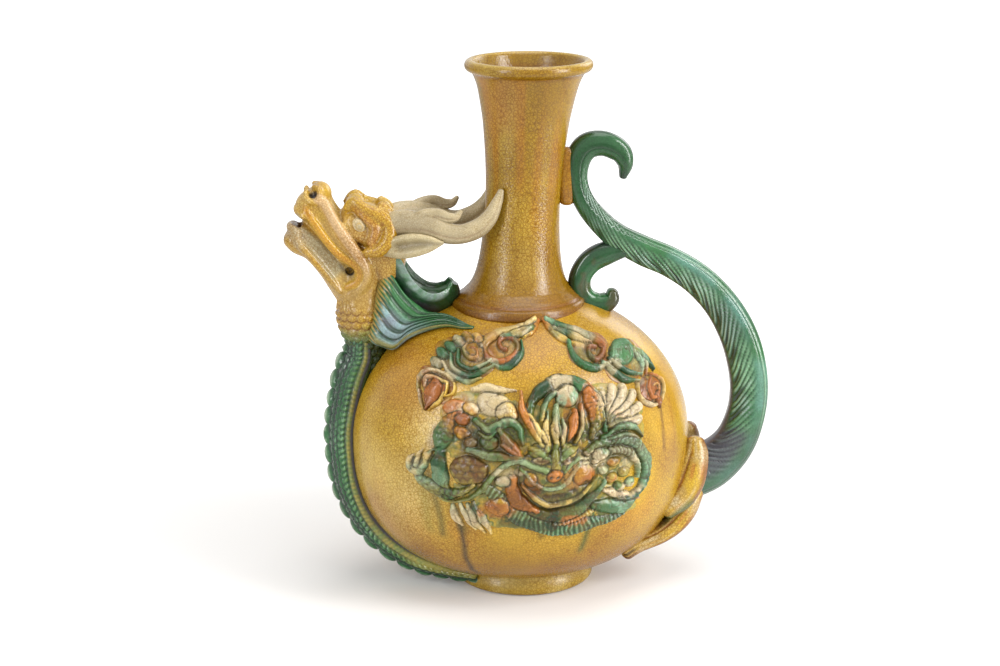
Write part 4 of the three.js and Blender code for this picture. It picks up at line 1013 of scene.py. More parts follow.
    # forearm, scaled flank and the claw
    line([(-43, 100), (-33, 98.2), (-25.6, 97.3), (-14, 96.4)], 2.9, 3.8, "mint green leaf")
    line([(-57, 99), (-58.4, 90), (-56, 80), (-49, 75.5)], 4.2, 3.2, "darkGreen green olive")
    lump((-43.6, 89), (9.6, 8.4), 3.2, "brown olive brown", cells=4.3, edge="ink")
    line([(-69, 86), (-66.5, 81.5), (-61, 77.8), (-54.5, 75.4), (-47, 76.6), (-41, 81)], 3.6, 3.0,
         "mint olive green olive", scales=3.4)
    lump((-69.4, 88.4), (5.2, 5.2), 3.0, "mint paleAmber", edge="green")
    for path in ([(-72, 88), (-72.5, 92), (-70.4, 95)], [(-68.5, 90), (-67.6, 95), (-65.4, 98)],
                 [(-65.5, 89), (-63.2, 95.4), (-60.2, 99.6)]):
        line(path, 1.7, 2.8, "mint paleAmber cream", thin=(1, 0.3))
    # the mask
    lump((1.5, 87), (20, 18), 4.6, "green olive green", stack=0.2, edge="ink")
    line([(-20.5, 85.5), (-21.4, 78), (-16.5, 71.2), (-8, 67.6)], 4.2, 2.6, "orange rust orange",
         edge="brown")
    lump((-26, 84), (4.6, 3.6), 2.6, "cream mint", rough=0.1)
    lump((27, 96.5), (5.4, 3.6), 3.2, "cream cream mint", rough=0.1)
    lump((16.6, 86.4), (6.6, 6.0), 2.6, "orange rust amber", edge="brown", stack=0.75)
    lump((-11.6, 85.6), (3.6, 4.6), 2.2, "orange amber", edge="brown", stack=0.75)
    line([(-16, 82), (-9, 73.8), (0.7, 70.6), (8.8, 71.4), (17, 75.8), (24.5, 85)], 2.0, 3.0,
         "olive paleAmber olive", edge="ink", stack=0.6)
    line([(-17, 91), (-13.3, 88.6), (-9.8, 83.4), (-3.4, 80.6), (3.5, 81), (8, 84.4), (12, 90.4),
          (17.7, 93), (24.5, 90)], 1.3, 1.6, "leaf mint leaf", stack=0.9, edge="ink")
    for centre, radii in [((-9, 78.4), (3.2, 1.7)), ((-3, 76), (3.6, 1.5)), ((4, 76), (3.8, 1.5)),
                          ((11, 78.4), (3.4, 1.7)), ((17.4, 82), (2.8, 1.9))]:
        pit(sheet, centre, radii, 1.1)
    for path in ([(-3, 102), (-3.6, 110), (-1.4, 121)], [(1.6, 103), (1, 112), (3, 120)],
                 [(5.6, 103), (6.6, 110), (6, 116)]):
        line(path, 2.2, 3.6, "olive cream mint", thin=(0.9, 0.3), stack=0.5)
    line([(-6, 104), (-10.9, 113), (-14.2, 122), (-14.9, 130.5)], 2.5, 4.2, "olive orange amber",
         stack=0.4, edge="brown")
    line([(-3.6, 104), (-7.6, 113), (-11.3, 120)], 1.7, 4.0, "cream paleAmber", stack=0.5)
    lump((-7.4, 101), (5.6, 4.2), 3.0, "olive leaf olive", stack=0.7)
    lump((9, 100.4), (4.9, 3.9), 3.0, "olive leaf paleAmber", stack=0.7)
    lump((-6.2, 95.8), (4.6, 2.3), 1.8, "cream olive", stack=0.85, edge="ink")
    lump((7, 95.6), (3.4, 2.4), 2.0, "cream cream", stack=0.85, edge="ink")
    pit(sheet, (-3.4, 94.2), (3.0, 0.9), 0.9)
    pit(sheet, (4.6, 94.4), (1.5, 0.9), 0.7)
    line([(0.7, 102), (0.8, 95), (1, 90)], 2.7, 2.6, "green olive", thin=(0.7, 1), stack=0.75)
    lump((1, 87.8), (4.4, 3.7), 3.6, "orange orange", stack=0.62, edge="brown")
    pit(sheet, (-1, 87), (1.0, 0.95), 1.4)
    pit(sheet, (2.9, 87.1), (1.0, 0.95), 1.4)
    line([(-4, 90.3), (-12.3, 93.9), (-20.9, 94.3), (-27.5, 90.8), (-33.2, 84.9), (-37.8, 78.3),
          (-44.2, 73.1), (-50.5, 71.3), (-56.5, 73.2)], 1.8, 3.0, "leaf mint leaf green olive",
         edge="ink", thin=(0.9, 0.4), stack=0.7)
    line([(5.4, 89.6), (9, 93), (14, 95.8), (20, 95)], 1.2, 2.2, "leaf mint", edge="ink", stack=0.7)
    line([(-12.5, 102.5), (-8, 100.6), (-3.6, 97.4), (-1.6, 94)], 1.9, 2.0, "olive leaf green",
         edge="ink", stack=0.8)
    line([(14, 101.6), (9.6, 100.2), (5, 97.4), (3, 94)], 1.9, 2.0, "olive leaf green", edge="ink",
         stack=0.8)
    for x in (-6.4, 7.6):
        pit(sheet, (x, 95.6), (3.4, 1.0), 0.8)
    splashShadeAndHighlight(sheet, medallion["splashes"])
    return sheet


scroll = {
    "columns": 190, "rows": 150, "wobble": 0.45,
    "left": {
        "outline": [
            (116, -66, -54), (124, -69, -44), (133, -69, -36), (140, -62, -10), (148, -56, -8),
            (154, -42, -6), (158, -26, 2), (163, -6, 4)],
        "splashes": [
            (-14, 157, 9, 3, "paleAmber", 0.6), (-22, 150, 7, 6, "orange", 0.4),
            (-8, 150, 8, 5, "green", 0.5), (-36, 148, 6, 5, "rust", 0.5), (-46, 146, 7, 6, "green", 0.6),
            (-38, 137, 12, 4, "darkGreen", 0.5), (-30, 142, 6, 3, "cream", 0.6),
            (-52, 138, 7, 5, "cream", 0.6), (-58, 131, 6, 5, "orange", 0.5),
            (-24, 140, 9, 3, "green", 0.5), (-62, 122, 4, 6, "rust", 0.4)]},
    "right": {
        "outline": [
            (112, 57, 70), (119, 49, 72), (128, 36, 72), (137, 20, 67), (144, 14, 61), (150, 13, 48),
            (157, 3, 32), (163, 1, 12)],
        "splashes": [
            (12, 156, 8, 3, "green", 0.5), (26, 152, 7, 4, "cream", 0.5), (31, 146, 5, 5, "rust", 0.5),
            (20, 143, 8, 5, "green", 0.6), (46, 143, 9, 6, "leaf", 0.5),
            (46, 133, 10, 4, "darkGreen", 0.5), (38, 138, 6, 3, "cream", 0.6),
            (57, 136, 6, 6, "mint", 0.5), (61, 124, 7, 6, "orange", 0.5), (54, 128, 4, 3, "cream", 0.6)]}}


def drawScroll(hand):
    left = hand < 0
    mould = scroll["left" if left else "right"]
    sheet = sprigSheet(mould["outline"], scroll["columns"], scroll["rows"], scroll["wobble"])

    line, lump = partial(ridge, sheet), partial(boss, sheet)
    if left:
        for centre, radii in [((-21, 149.5), (12, 7.4)), ((-40, 144.5), (15, 9)), ((-57, 131), (8.6, 9))]:
            lump(centre, radii, 0.9, "amber rust", rough=0.06, stack=0, edge="rust")
        line([(1.5, 161.8), (-3, 158.8), (-8, 155)], 2.8, 2.4, "orange amber", edge="rust")
        line([(0, 161), (-4.5, 159.2), (-13.3, 157.2), (-21.7, 155.4), (-28, 152.4), (-30.6, 148.6),
              (-29, 145), (-23.7, 143.4), (-18.2, 144.6), (-13.9, 147.6), (-12.6, 151), (-14.8, 153.6),
              (-18.7, 154.2), (-21.6, 152.2), (-21.2, 149.6), (-18.9, 149.2)], 1.9, 3.0,
             "paleAmber cream paleAmber rust orange rust brown", edge="brown", thin=(0.5, 0.6))
        line([(-2.5, 157.8), (-9, 156.2), (-15, 155), (-20.5, 153.8)], 1.4, 3.0, "green cream green mint")
        line([(-10, 153), (-10.6, 148), (-15.5, 143.4), (-22.2, 140.9), (-29, 143)], 1.5, 2.4,
             "green darkGreen leaf")
        lump((-36, 147.4), (5.4, 4.9), 2.6, "orange amber rust", edge="brown")
        line([(-31, 149.6), (-34, 152), (-38.5, 151), (-40.4, 147.6), (-38.4, 144.4), (-34.4, 144.8),
              (-34, 148), (-36.6, 148.4)], 1.1, 2.0, "cream paleAmber orange", edge="brown", stack=0.6)
        for centre, colour in [((-32, 153.4), "paleAmber orange"), ((-37.2, 153), "orange olive"),
                               ((-41.9, 151), "leaf cream"), ((-46.3, 148.3), "green mint"),
                               ((-51, 145), "mint green"), ((-54.6, 141), "green cream")]:
            lump(centre, (3.0, 2.6), 2.6, colour, edge="darkGreen")
        line([(-42.6, 147.4), (-43.8, 141.8), (-38.9, 139.4), (-32.9, 141), (-27.4, 144)], 1.3, 3.0,
             "darkGreen green mint")
        line([(-47, 145), (-47, 139.2), (-40.4, 136.6), (-33.6, 138.5), (-26.6, 141.8)], 1.5, 2.8,
             "mint green leaf")
        line([(-51.5, 141.5), (-48.5, 136.4), (-41, 134), (-34, 136)], 1.4, 2.6, "cream mint paleAmber")
        lump((-57.2, 130.6), (6.4, 6), 2.2, "rust brown orange", edge="brown")
        for bend in (0, 3.2):
            line([(-65.4 + bend, 126), (-64 + bend, 132.6), (-57.6, 137.2 - bend),
                  (-51 - bend * 0.6, 136.2 - bend), (-47.6 - bend, 132.4), (-49 - bend, 128),
                  (-53.2, 126.4)], 1.1, 2.8, "olive cream paleAmber amber", edge="brown")
        line([(-56, 131), (-59.5, 125.4), (-63, 118.4)], 3.4, 2.6, "rust orange brown", thin=(0.8, 0.12),
             edge="brown")
        line([(-64.6, 127), (-65, 122.4), (-63.6, 118)], 0.9, 2.6, "cream olive", edge="brown")
        line([(-53, 128), (-56.4, 122.8), (-62, 118)], 0.9, 2.6, "paleAmber amber", edge="brown")
    else:
        for centre, radii in [((27, 146.5), (13, 8)), ((48, 138.5), (14, 10)), ((61, 123), (9, 8.6))]:
            lump(centre, radii, 0.9, "amber rust", rough=0.06, stack=0, edge="rust")
        line([(4.4, 161.8), (8.1, 156.7), (14.2, 152.4), (19, 150)], 1.8, 2.6, "orange paleAmber amber",
             edge="rust")
        line([(6, 160.8), (12.9, 157.8), (21.9, 154.8), (30, 151.4), (35, 147.6), (34, 143.8),
              (29.4, 142.4), (25.8, 145), (26.8, 148), (30.6, 147.6)], 2.0, 3.0,
             "mint green cream green orange brown rust brown", edge="brown", thin=(0.6, 0.55))
        line([(9, 157), (16, 154.4), (23.5, 151.6), (28.4, 149.6)], 1.3, 2.8,
             "cream darkGreen paleAmber rust")
        line([(16, 151), (16.8, 145.6), (22.3, 141), (31, 138.8), (40.5, 140.6)], 2.0, 2.6,
             "leaf green darkGreen")
        lump((46.6, 143), (8.6, 5.6), 3.0, "green leaf mint", edge="darkGreen")
        for k in range(4):
            reach = 1 - 0.22 * k
            line([(46.6 - 7.4 * reach, 143 - 2 * reach), (46.6 - 4.6 * reach, 143 + 4.2 * reach),
                  (46.6 + 1.5 * reach, 143 + 4.9 * reach), (46.6 + 6.4 * reach, 143 + 0.6),
                  (46.6 + 7.6 * reach, 143 - 4 * reach)], 0.75, 0.9, "mint green mint", stack=0.95)
        line([(33, 140.4), (39.5, 135.2), (45.9, 130.7), (54, 128.8)], 1.8, 2.6, "mint green leaf")
        line([(37, 141.6), (43.3, 136.8), (49.9, 132.9), (56, 131.6)], 1.5, 2.8, "darkGreen green mint")
        line([(54, 142), (57.6, 136.4), (56.6, 131)], 1.6, 2.8, "cream mint cream")
        line([(58, 140.4), (60.8, 135), (59.6, 130.6)], 1.4, 2.6, "green cream orange")
        line([(54.4, 143.4), (61.4, 137.8), (65.6, 131)], 1.6, 2.6, "olive green darkGreen")
        lump((60.8, 122.8), (7.8, 7.4), 2.4, "orange rust amber", edge="brown")
        line([(52.4, 127.6), (52.8, 121.2), (59.6, 116.2), (65.6, 116), (69, 120), (68.8, 125.6),
              (62.4, 130)], 1.2, 3.0, "amber cream paleAmber orange", edge="brown")
        line([(61.6, 129), (58.4, 124.4), (60.4, 119.6), (64.6, 120.2), (64.8, 124.4), (61.6, 124.6)],
             1.1, 2.4, "rust orange paleAmber", edge="brown", stack=0.6)
        line([(64.4, 120), (65.8, 112.8)], 1.8, 2.4, "orange brown", thin=(1, 0.2), edge="brown")
    splashShadeAndHighlight(sheet, mould["splashes"])
    return sheet


def makeRelief():
    mask = drawMedallion()
    scrolls = {"left": drawScroll(-1), "right": drawScroll(1)}
    for face, turn in (("front", reliefTurn), ("back", np.pi - reliefTurn)):
        laySprig("medallion" + face.title(), mask, turn, "medallion_" + face)
        for hand, sheet in scrolls.items():
            laySprig("scroll" + hand.title() + face.title(), sheet, turn,
                     "cloud_scroll_" + hand + "_" + face)


makeRelief()


# dragon's head, jaw, brows and throat: closed forms fused into one, then glazed by place

head = {
    "corner": (outlineX(-1, body["waist"]) + 0.7, body["shoulder"] + 22.9),
    "pitch": 52.3, "voxel": 0.62, "smooth": 5, "sides": 40,
    "muzzle": [
        (-10, 2, 0, 9, 13.2), (0, 4.5, 0, 9.4, 13.6), (12, 5.4, 0, 9.6, 12.4), (24, 5.6, 0, 9.8, 10.8),
        (34, 6, 0, 10.2, 9.8), (41, 7.4, 0, 10.4, 9.2)],
    "skull": [
        (-16, 14, 0, 10, 12), (-6, 20, 0, 13, 14), (6, 23, 0, 13, 14), (16, 21, 0, 10.5, 12.4),
        (22, 18, 0, 7.4, 10)],
    "jaw": [
        (-16, -8.5, 0, 9.6, 12), (-5, -9, 0, 8.6, 12), (7, -9.8, 0, 6.6, 11.2), (19, -10.8, 0, 6.2, 10.4),
        (27, -13.6, 0, 7.0, 10.2), (31.6, -15, 0, 6.2, 9.2)],
    "membrane": [
        (-4, -5, 0, 5, 10.6), (10, -5, 0, 5.6, 9.9), (22, -6, 0, 5.4, 9.2), (32.5, -7.4, 0, 4.8, 8.4)],
    "lowerLip": [
        (32.5, -10, -9.4, 2.2, 2.2), (35.6, -11, -5.5, 2.7, 2.7), (36.6, -11.6, 0, 2.9, 2.9),
        (35.6, -11, 5.5, 2.7, 2.7), (32.5, -10, 9.4, 2.2, 2.2)],
    "upperLip": [
        (38, -1.6, -9, 2.0, 2.0), (41.4, -2.4, -5, 2.4, 2.4), (42.4, -2.2, 0, 2.6, 2.6),
        (41.4, -2.4, 5, 2.4, 2.4), (38, -1.6, 9, 2.0, 2.0)],
    "pairs": {
        "outerLip": [
            (41, 11.4, 7.2, 2.3), (36, 12, 9.2, 2.8), (25, 10.2, 10.8, 3.1), (13.6, 9.2, 12.3, 3.3),
            (3.8, 8.8, 13.4, 3.4), (-5, 7.2, 13.8, 3.4), (-10.8, 2.9, 13.2, 3.3), (-13.2, -4, 12.2, 3),
            (-12.6, -9.4, 11, 1.9)],
        "innerLip": [
            (42, 2.6, 6.6, 1.8), (38.6, 1.2, 8.6, 2.2), (29.8, 0.7, 10.2, 2.4), (17.9, 0.1, 11.4, 2.5),
            (8.4, 1, 12.3, 2.5), (1, 3.7, 13, 2.3), (-4.8, 3.4, 13.2, 2.3), (-8.2, -1.4, 12.8, 2.3),
            (-7.4, -7.6, 11.6, 1.9)],
        "jawRidge": [
            (33, -11.4, 8.2, 2.0), (27.3, -12.8, 10, 2.3), (19.6, -12.4, 10.6, 2.3), (10, -12, 11.2, 2.3),
            (0.9, -12, 11.8, 2.3), (-7, -12.4, 11.4, 1.9)],
        "nostrilCurl": [
            (48, 8.4, 5.2, 1.3), (46, 6.4, 7.8, 1.5), (42.4, 6.6, 9.5, 1.6), (40.2, 9.4, 10, 1.8),
            (41.2, 13, 9.4, 1.9), (44.4, 14.6, 7.4, 1.8), (47.2, 12.6, 5.2, 1.4)],
        "brow": [
            (26.8, 20, 7.6, 2.6), (27, 25.4, 9.2, 3.4), (20.6, 27.6, 11.4, 3.6), (14.2, 31, 12.4, 4.2),
            (6, 32.4, 13.2, 4.4), (0, 27.6, 15.2, 4.2), (-1.4, 20, 16.2, 3.8), (1.8, 13.8, 15.8, 2.6)],
        "browFold": [
            (24.6, 23.4, 10, 1.6), (19, 24.6, 12.6, 2.0), (13.4, 25.6, 13.8, 2.6), (9.4, 26, 14.4, 3.0),
            (6.4, 22.6, 15.2, 3.0), (4.6, 18.4, 15.6, 2.2)],
        "lowerLid": [
            (22.4, 19.4, 10.4, 1.2), (18.6, 16, 12, 1.3), (13.4, 14.6, 13, 1.3), (9.4, 16, 13.6, 1.1)],
        "temple": [(20, 17, 7.6, 5), (10, 18.6, 9.2, 6), (3, 24, 10, 6)],
        "crownKnob": [(16.4, 35.4, 7.6, 2.6), (11.6, 36.4, 8.4, 3.2), (6.6, 36, 8.6, 2.6)],
        "browKnob": [(28.6, 23, 5, 2.2), (28, 27, 5.6, 2.6), (24.6, 28.8, 6.6, 2.2)]},
    "eye": (15.4, 19.8, 12.2), "eyeRadii": (4.8, 3.5, 3.2), "hole": (-1.5, -0.7), "holeRadius": 2.2,
    "nostril": (44.4, 10.2, 8.2), "noseTip": (41.4, 13.6, 0), "noseRadii": (6.2, 5.6, 8.2),
    "mouth": [
        (4, -4.6, 0, 2.2, 4.0), (20, -6, 0, 2.3, 6.0), (34, -7.2, 0, 2.3, 6.6), (52, -8, 0, 3.4, 8.0)],
    "scaleWidth": 5.0, "scaleHeight": 4.2, "throatMiddle": -90, "throatRadius": 14}
pitch = np.radians(head["pitch"])
headAlong = np.array([-np.cos(pitch), 0, np.sin(pitch)])
headAcross = np.array([np.sin(pitch), 0, np.cos(pitch)])


def inHead(u, w, y):
    # out along the snout, up across it and to the side, from the corner of the jaw
    corner = np.array([head["corner"][0], 0, head["corner"][1]])
    return corner + headAlong * u + headAcross * w + np.array([0, y, 0])


def headPlace(p):
    # the same three measures of any point
    rel = p - inHead(0, 0, 0)
    return rel @ headAlong, rel @ headAcross, p[..., 1]


def headStations(rows, face=1):
    # rows of (u, w, y, radius) or (u, w, y, halfWidth, halfDepth)
    return [(*inHead(u, w, y * face), size[0], size[-1]) for u, w, y, *size in rows]


def formSkin(stations, steps, sides, **more):
    rings = carried(stations, steps, sides, **more)["rings"]
    return closedSkin(rings, np.zeros(rings.shape))


def ball(centre, axes, radii, rows=24, columns=36):
    # centre + axes * radii * (sin a cos b, sin a sin b, cos a)
    a = np.linspace(0.06, np.pi - 0.06, rows)[:, None]
    b = 2 * np.pi * np.arange(columns) / columns
    local = np.stack([np.sin(a) * np.cos(b), np.sin(a) * np.sin(b), np.cos(a) * np.ones(columns)], -1)
    return np.asarray(centre) + (local * radii) @ np.asarray(axes)


def ballSkin(*args, **more):
    rings = ball(*args, **more)
    return closedSkin(rings, np.zeros(rings.shape))


def rightWay(skin):
    # faces turned outwards
    points, faces, tint = skin
    return (points, [cells[:, ::-1] for cells in faces], tint) if spaceInside(points, faces) < 0 else skin


def workshopObject(name, skin):
    # a form that only serves to make another
    points, faces, _ = rightWay(skin)
    mesh = bpy.data.meshes.new(name)
    mesh.from_pydata(points.tolist(), [], [f for cells in faces for f in cells.tolist()])
    made = bpy.data.objects.new(name, mesh)
    bpy.context.scene.collection.objects.link(made)
    return made


def fused(skins, voxel, cutters, smooth):
    # One skin round several closed forms, with holes cut by others. The hollow at a
    # point is how far further smoothing would lift it along its normal.
    rough = workshopObject("rough", joined([rightWay(skin) for skin in skins]))
    tools = [workshopObject("tool", cutter) for cutter in cutters]
    for cut in [None] + tools:
        if cut is not None:
            modifier = rough.modifiers.new("cut", "BOOLEAN")
            modifier.operation, modifier.solver, modifier.object = "DIFFERENCE", "EXACT", cut
        if cut is None or cut is tools[-1]:
            merge = rough.modifiers.new("merge", "REMESH")
            merge.mode, merge.voxel_size = "VOXEL", voxel
    soften = rough.modifiers.new("soften", "SMOOTH")
    results = []
    for times in (smooth, smooth + 22):
        soften.factor, soften.iterations = 0.5, times
        bpy.context.view_layer.update()
        seen = rough.evaluated_get(bpy.context.evaluated_depsgraph_get())
        mesh = seen.to_mesh()
        points = np.empty(len(mesh.vertices) * 3)
        normals = np.empty(len(mesh.vertices) * 3)
        corners = np.empty(len(mesh.loops), int)
        mesh.vertices.foreach_get("co", points)
        mesh.vertices.foreach_get("normal", normals)
        mesh.loops.foreach_get("vertex_index", corners)
        results.append((points.reshape(-1, 3), normals.reshape(-1, 3), corners.reshape(-1, 4)))
        seen.to_mesh_clear()
    for made in [rough] + tools:
        mesh = made.data
        bpy.data.objects.remove(made)
        bpy.data.meshes.remove(mesh)
    (points, normals, faces), (softer, _, _) = results
    return points, faces, normals, np.sum((softer - points) * normals, -1)


throat = [(outlineX(-1, 128, 1), 0, 128, 9, 9.5), (outlineX(-1, 143, 15.4), 0, 143, 11.6, 13),
          (head["corner"][0] + 6.4, 0, head["corner"][1] - 30.4, 13.4, 15),
          (head["corner"][0] + 5.8, 0, head["corner"][1] - 17.4, 12.6, 14),
          (head["corner"][0] + 6.8, 0, head["corner"][1] - 5.4, 12.6, 13.4),
          (head["corner"][0] + 9.3, 0, head["corner"][1] + 6.6, 12, 13.4)]


def headTint(p, hollow):
    u, w, side = headPlace(p)
    y = np.abs(side)
    q = np.stack([u, w], -1)
    away = {name: nearCurve(q, np.array(rows)[:, :2])[0] for name, rows in head["pairs"].items()}
    onHead = rise(w + 0.35 * u, -26, -17)
    flat = rise(w, -11.8, -10) * (1 - rise(w + 0.02 * u, -2.8, -1.4)) * rise(u, -2, 3) * rise(y, 6.5, 8.5)
    lowLip = rise(u, 22, 29) * (1 - rise(w, -7.5, -5.5)) * rise(w, -18.5, -14.5)
    combed = 0.5 + 0.5 * np.sin(2.3 * (y * 1.25 + 0.55 * (p[..., 0] + 90)) + 2.5 * cloud(p, 9, 4))
    tint = glazeAndLightCoats(plain(p, "straw"),
        ("amber", 0.75 * rise(clouds(p, 17, 3), 0.38, 0.66)),
        ("paleAmber", 0.5 * rise(clouds(p, 12, 8), 0.5, 0.75)),
        ("amber", onHead * (0.75 * (1 - rise(away["brow"], 3.2, 6)) * rise(y, 4, 8))),
        ("orange", onHead * (0.28 * (1 - rise(away["browFold"], 1, 3)) * rise(y, 9, 12))),
        # a painted highlight in pinkish cream on the outer lip, and bone between the jaws
        ("cream", 0.75 * (1 - rise(away["outerLip"], 2.0, 3.8)) * rise(y, 5.5, 8) * rise(u, -14, -2),
         [1.0, 0.86, 0.82]),
        ("amber", onHead * (0.9 * (1 - rise(away["innerLip"], 1.8, 3.0)) * rise(y, 6, 8.5))),
        ("orange", onHead * (0.35 * (1 - rise(away["innerLip"], 0.6, 2.4)) * rise(y, 7, 9))),
        ("bone", 0.9 * flat, [0.92, 1.0, 1.0]),
        ("bone", 0.75 * lowLip, 1.1),
        ("amber", onHead * (0.5 * (1 - rise(w, -17.5, -15)) * rise(u, 14, 24))),
        ("amber", onHead * (0.6 * rise(w, 14, 18) * rise(u, 34, 38))),
        ("paleAmber", onHead * (0.6 * rise(u, 40, 44) * (1 - rise(w, 7, 11)))),
        # the throat: yellower towards the mane, in combed strokes, green where it meets the trunk
        ("paleAmber", (1 - onHead) * (0.25 + 0.5 * combed) * rise(p[..., 0], -97, -86), [0.95, 1, 0.8]),
        ("leaf", 0.75 * (1 - rise(p[..., 2] + 8 * cloud(p, 7, 2), 149, 159))),
        ("darkGreen", 0.85 * (1 - rise(p[..., 2], 140, 149))),
        # rust-coloured painted shade in the creases, and a painted highlight over the crests
        ("rust", 0.85 * rise(hollow, 0.12, 0.75)))
    # the painted highlight over the crests
    tint = mix(tint, np.minimum(tint * 1.25 + 0.03, 0.8), 0.6 * rise(-hollow, 0.15, 0.8))
    hole = np.hypot(u - head["hole"][0], w - head["hole"][1])
    besideHole = np.hypot((u - head["hole"][0] - 1.5) / 2.2, w - head["hole"][1] + 1)
    nostril = np.sqrt((u - head["nostril"][0]) ** 2 + (w - head["nostril"][1]) ** 2
                      + (y - head["nostril"][2]) ** 2)
    cleft = np.abs(w + 6.8 + 0.04 * (u - 30))
    return glazeAndLightCoats(tint,
        # ink in the hole: painted shade
        ("ink", (1 - rise(hole, 2.1, 2.9)) * rise(y, 7, 9)),
        # a darker patch by the hole
        ("ink", 0.5 * (1 - rise(besideHole, 1.4, 3.4)) * rise(y, 7, 9)),
        # ink in the nostrils: painted shade
        ("ink", 1 - rise(nostril, 1.9, 3.0)),
        ("brown", 0.85 * ((1 - rise(cleft, 1.8, 2.8)) * rise(u, 24, 30) * (1 - rise(y, 5.5, 8)))))


def makeHead():
    sides = head["sides"]
    skins = [formSkin(headStations(head[name]), 70, sides)
             for name in ("muzzle", "skull", "jaw", "membrane")]
    skins += [formSkin(headStations(head[name]), 60, 24) for name in ("lowerLip", "upperLip")]
    skins.append(formSkin(throat, 90, 56))
    axes = [headAlong, headAcross, (0, 1, 0)]
    skins.append(ballSkin(inHead(*head["noseTip"]), axes, head["noseRadii"]))
    for face in (-1, 1):
        for rows in head["pairs"].values():
            skins.append(formSkin(headStations(rows, face), 90, 20))
    # the spout's way out between the jaws, the hole at their corner and the nostrils
    mouth = formSkin(headStations(head["mouth"]), 40, 24)
    size = head["holeRadius"]
    bore = [(*head["hole"], y, size, size) for y in (7.0, 16.0, 30.0)]
    pierced = joined([rightWay(formSkin(headStations(bore, face), 30, 24, side=headAlong))
                      for face in (-1, 1)])
    u, w, y = head["nostril"]
    nostrils = joined([rightWay(ballSkin(inHead(u, w, y * face), axes, (1.7, 1.7, 2.6)))
                       for face in (-1, 1)])
    points, faces, normals, hollow = fused(skins, head["voxel"], [mouth, pierced, nostrils],
                                           head["smooth"])
    # overlapping scales at the throat's foot
    angle = np.arctan2(points[:, 1], head["throatMiddle"] - points[:, 0])
    bow = scaleBow(head["throatRadius"] * angle / head["scaleWidth"],
                   points[:, 2] / head["scaleHeight"], hanging=True)
    foot = 1 - rise(points[:, 2] + 6 * cloud(points, 6, 12), 160, 171)
    slant = headAcross + 0.35 * headAlong
    neckPart = (1 - rise(points @ slant - inHead(0, 0, 0) @ slant, -24, -17)) * (1 - foot)
    comb = np.sin(1.9 * (np.abs(points[:, 1]) * 0.9 + 0.75 * (points[:, 0] + 90) + 0.12 * points[:, 2])
                  + 2.0 * cloud(points, 9, 4))
    height = 1.1 * (1 - rise(bow, 0.4, 0.95)) * foot + 0.45 * comb * neckPart
    points = points + normals * height[:, None]
    tint = headTint(points, hollow)
    tint = glazeAndLightCoats(tint,
        ("rust", 0.8 * foot * bell(bow, 0.9, 0.12) * rise(points[:, 2], 146, 152), 0.8),
        ("brown", 0.4 * rise(-comb, 0.2, 1) * neckPart))
    putPiece("dragonHead", (points, [faces], tint), strawGlaze,
             ["dragon_head", "dragon_jaw", "dragon_neck", "brow_front", "brow_back"])


def makeEyes():
    for face, name in flanks:
        u, w, y = head["eye"]
        centre, axes = inHead(u, w, y * face), [headAlong, headAcross, (0, face, 0)]
        rings = ball(centre, axes, head["eyeRadii"], 40, 48)
        rel = rings - centre
        out = np.hypot(rel @ headAlong / 2.0, rel @ headAcross / 1.6)
        tint = glazeAndLightCoats(plain(rings, "bone"),
            ("cream", rise(out, 1.1, 1.8)),
            ("straw", 0.7 * bell(out, 1.0, 0.25)))
        putPiece("eye" + name.title(), closedSkin(rings, tint), creamGlaze,
                 ["eye_" + name])


# horns and ears

horn = {
    "steps": {
        "beam": 240, "prong": 130},
    "sides": 64,
    "beam": [
        (-78, 9.5, 209, 7.5, 5.6), (-68, 12, 211.5, 7.6, 5.8), (-56, 16, 211, 7.2, 5.4),
        (-45, 18.8, 207.5, 6, 5), (-36, 19.5, 206.6, 5.4, 4.6), (-27.5, 19.5, 209.6, 5.2, 4.2),
        (-20.8, 19.5, 216, 4.4, 3.6), (-16.8, 19.1, 224, 3, 2.8), (-14.6, 18.7, 230.4, 1.7, 1.7)],
    "prong": [
        (-63, 14.6, 213, 4.6, 3.6), (-57, 16.6, 216, 4.2, 2.8), (-50, 18, 217.4, 3.8, 2.2),
        (-44, 19, 216, 3.2, 2.0), (-39.5, 19.5, 216.4, 2.4, 1.8), (-36.6, 19.5, 219.4, 1.2, 1.2)]}
ear = {
    "steps": 150, "sides": 72,
    "stations": [
        (-79, 14, 197, 3.4, 2.4), (-72, 17.5, 199, 6.4, 3.2), (-63, 20.5, 201, 6.7, 3.2),
        (-54, 22.9, 202.2, 4.6, 2.4), (-47, 24, 202.8, 1.0, 1.0)]}


def makeHorns():
    # two tapering branches, each a section carried along its stations
    for face, name in flanks:
        skins = []
        for limb, steps in horn["steps"].items():
            stations = [(x, y * face, z, a, d) for x, y, z, a, d in horn[limb]]
            form = carried(stations, steps, horn["sides"], flatSided(0.92))
            run, u = form["run"], form["u"]
            wave = np.sin(run / 3.1 + 2.2 * u) * 0.1 + np.sin(run / 7.3 - 1.5 * u) * 0.1
            furrow = -0.45 * bell(u, 0.25, 0.2) * rise(form["share"], 0.1, 0.3)
            rings = swollen(form, wave + furrow * (1 - rise(form["share"], 0.75, 0.95)))
            tint = glazeAndLightCoats(plain(rings, "bone") * 0.86,
                ("cream", 0.5 * rise(clouds(rings, 12, 3), 0.4, 0.7)),
                # the underside of each horn darker: painted shade
                ("bone", 0.7 * rise(u, 0.3, 0.95), 0.6),
                ("brown", 0.35 * bell(u, 0.25, 0.12)),
                ("straw", 0.6 * (1 - rise(form["share"], 0.0, 0.12))))
            skins.append(closedSkin(rings, tint))
        putPiece("horn" + name.title(), joined([rightWay(skin) for skin in skins]), creamGlaze,
                 ["horn_" + name])


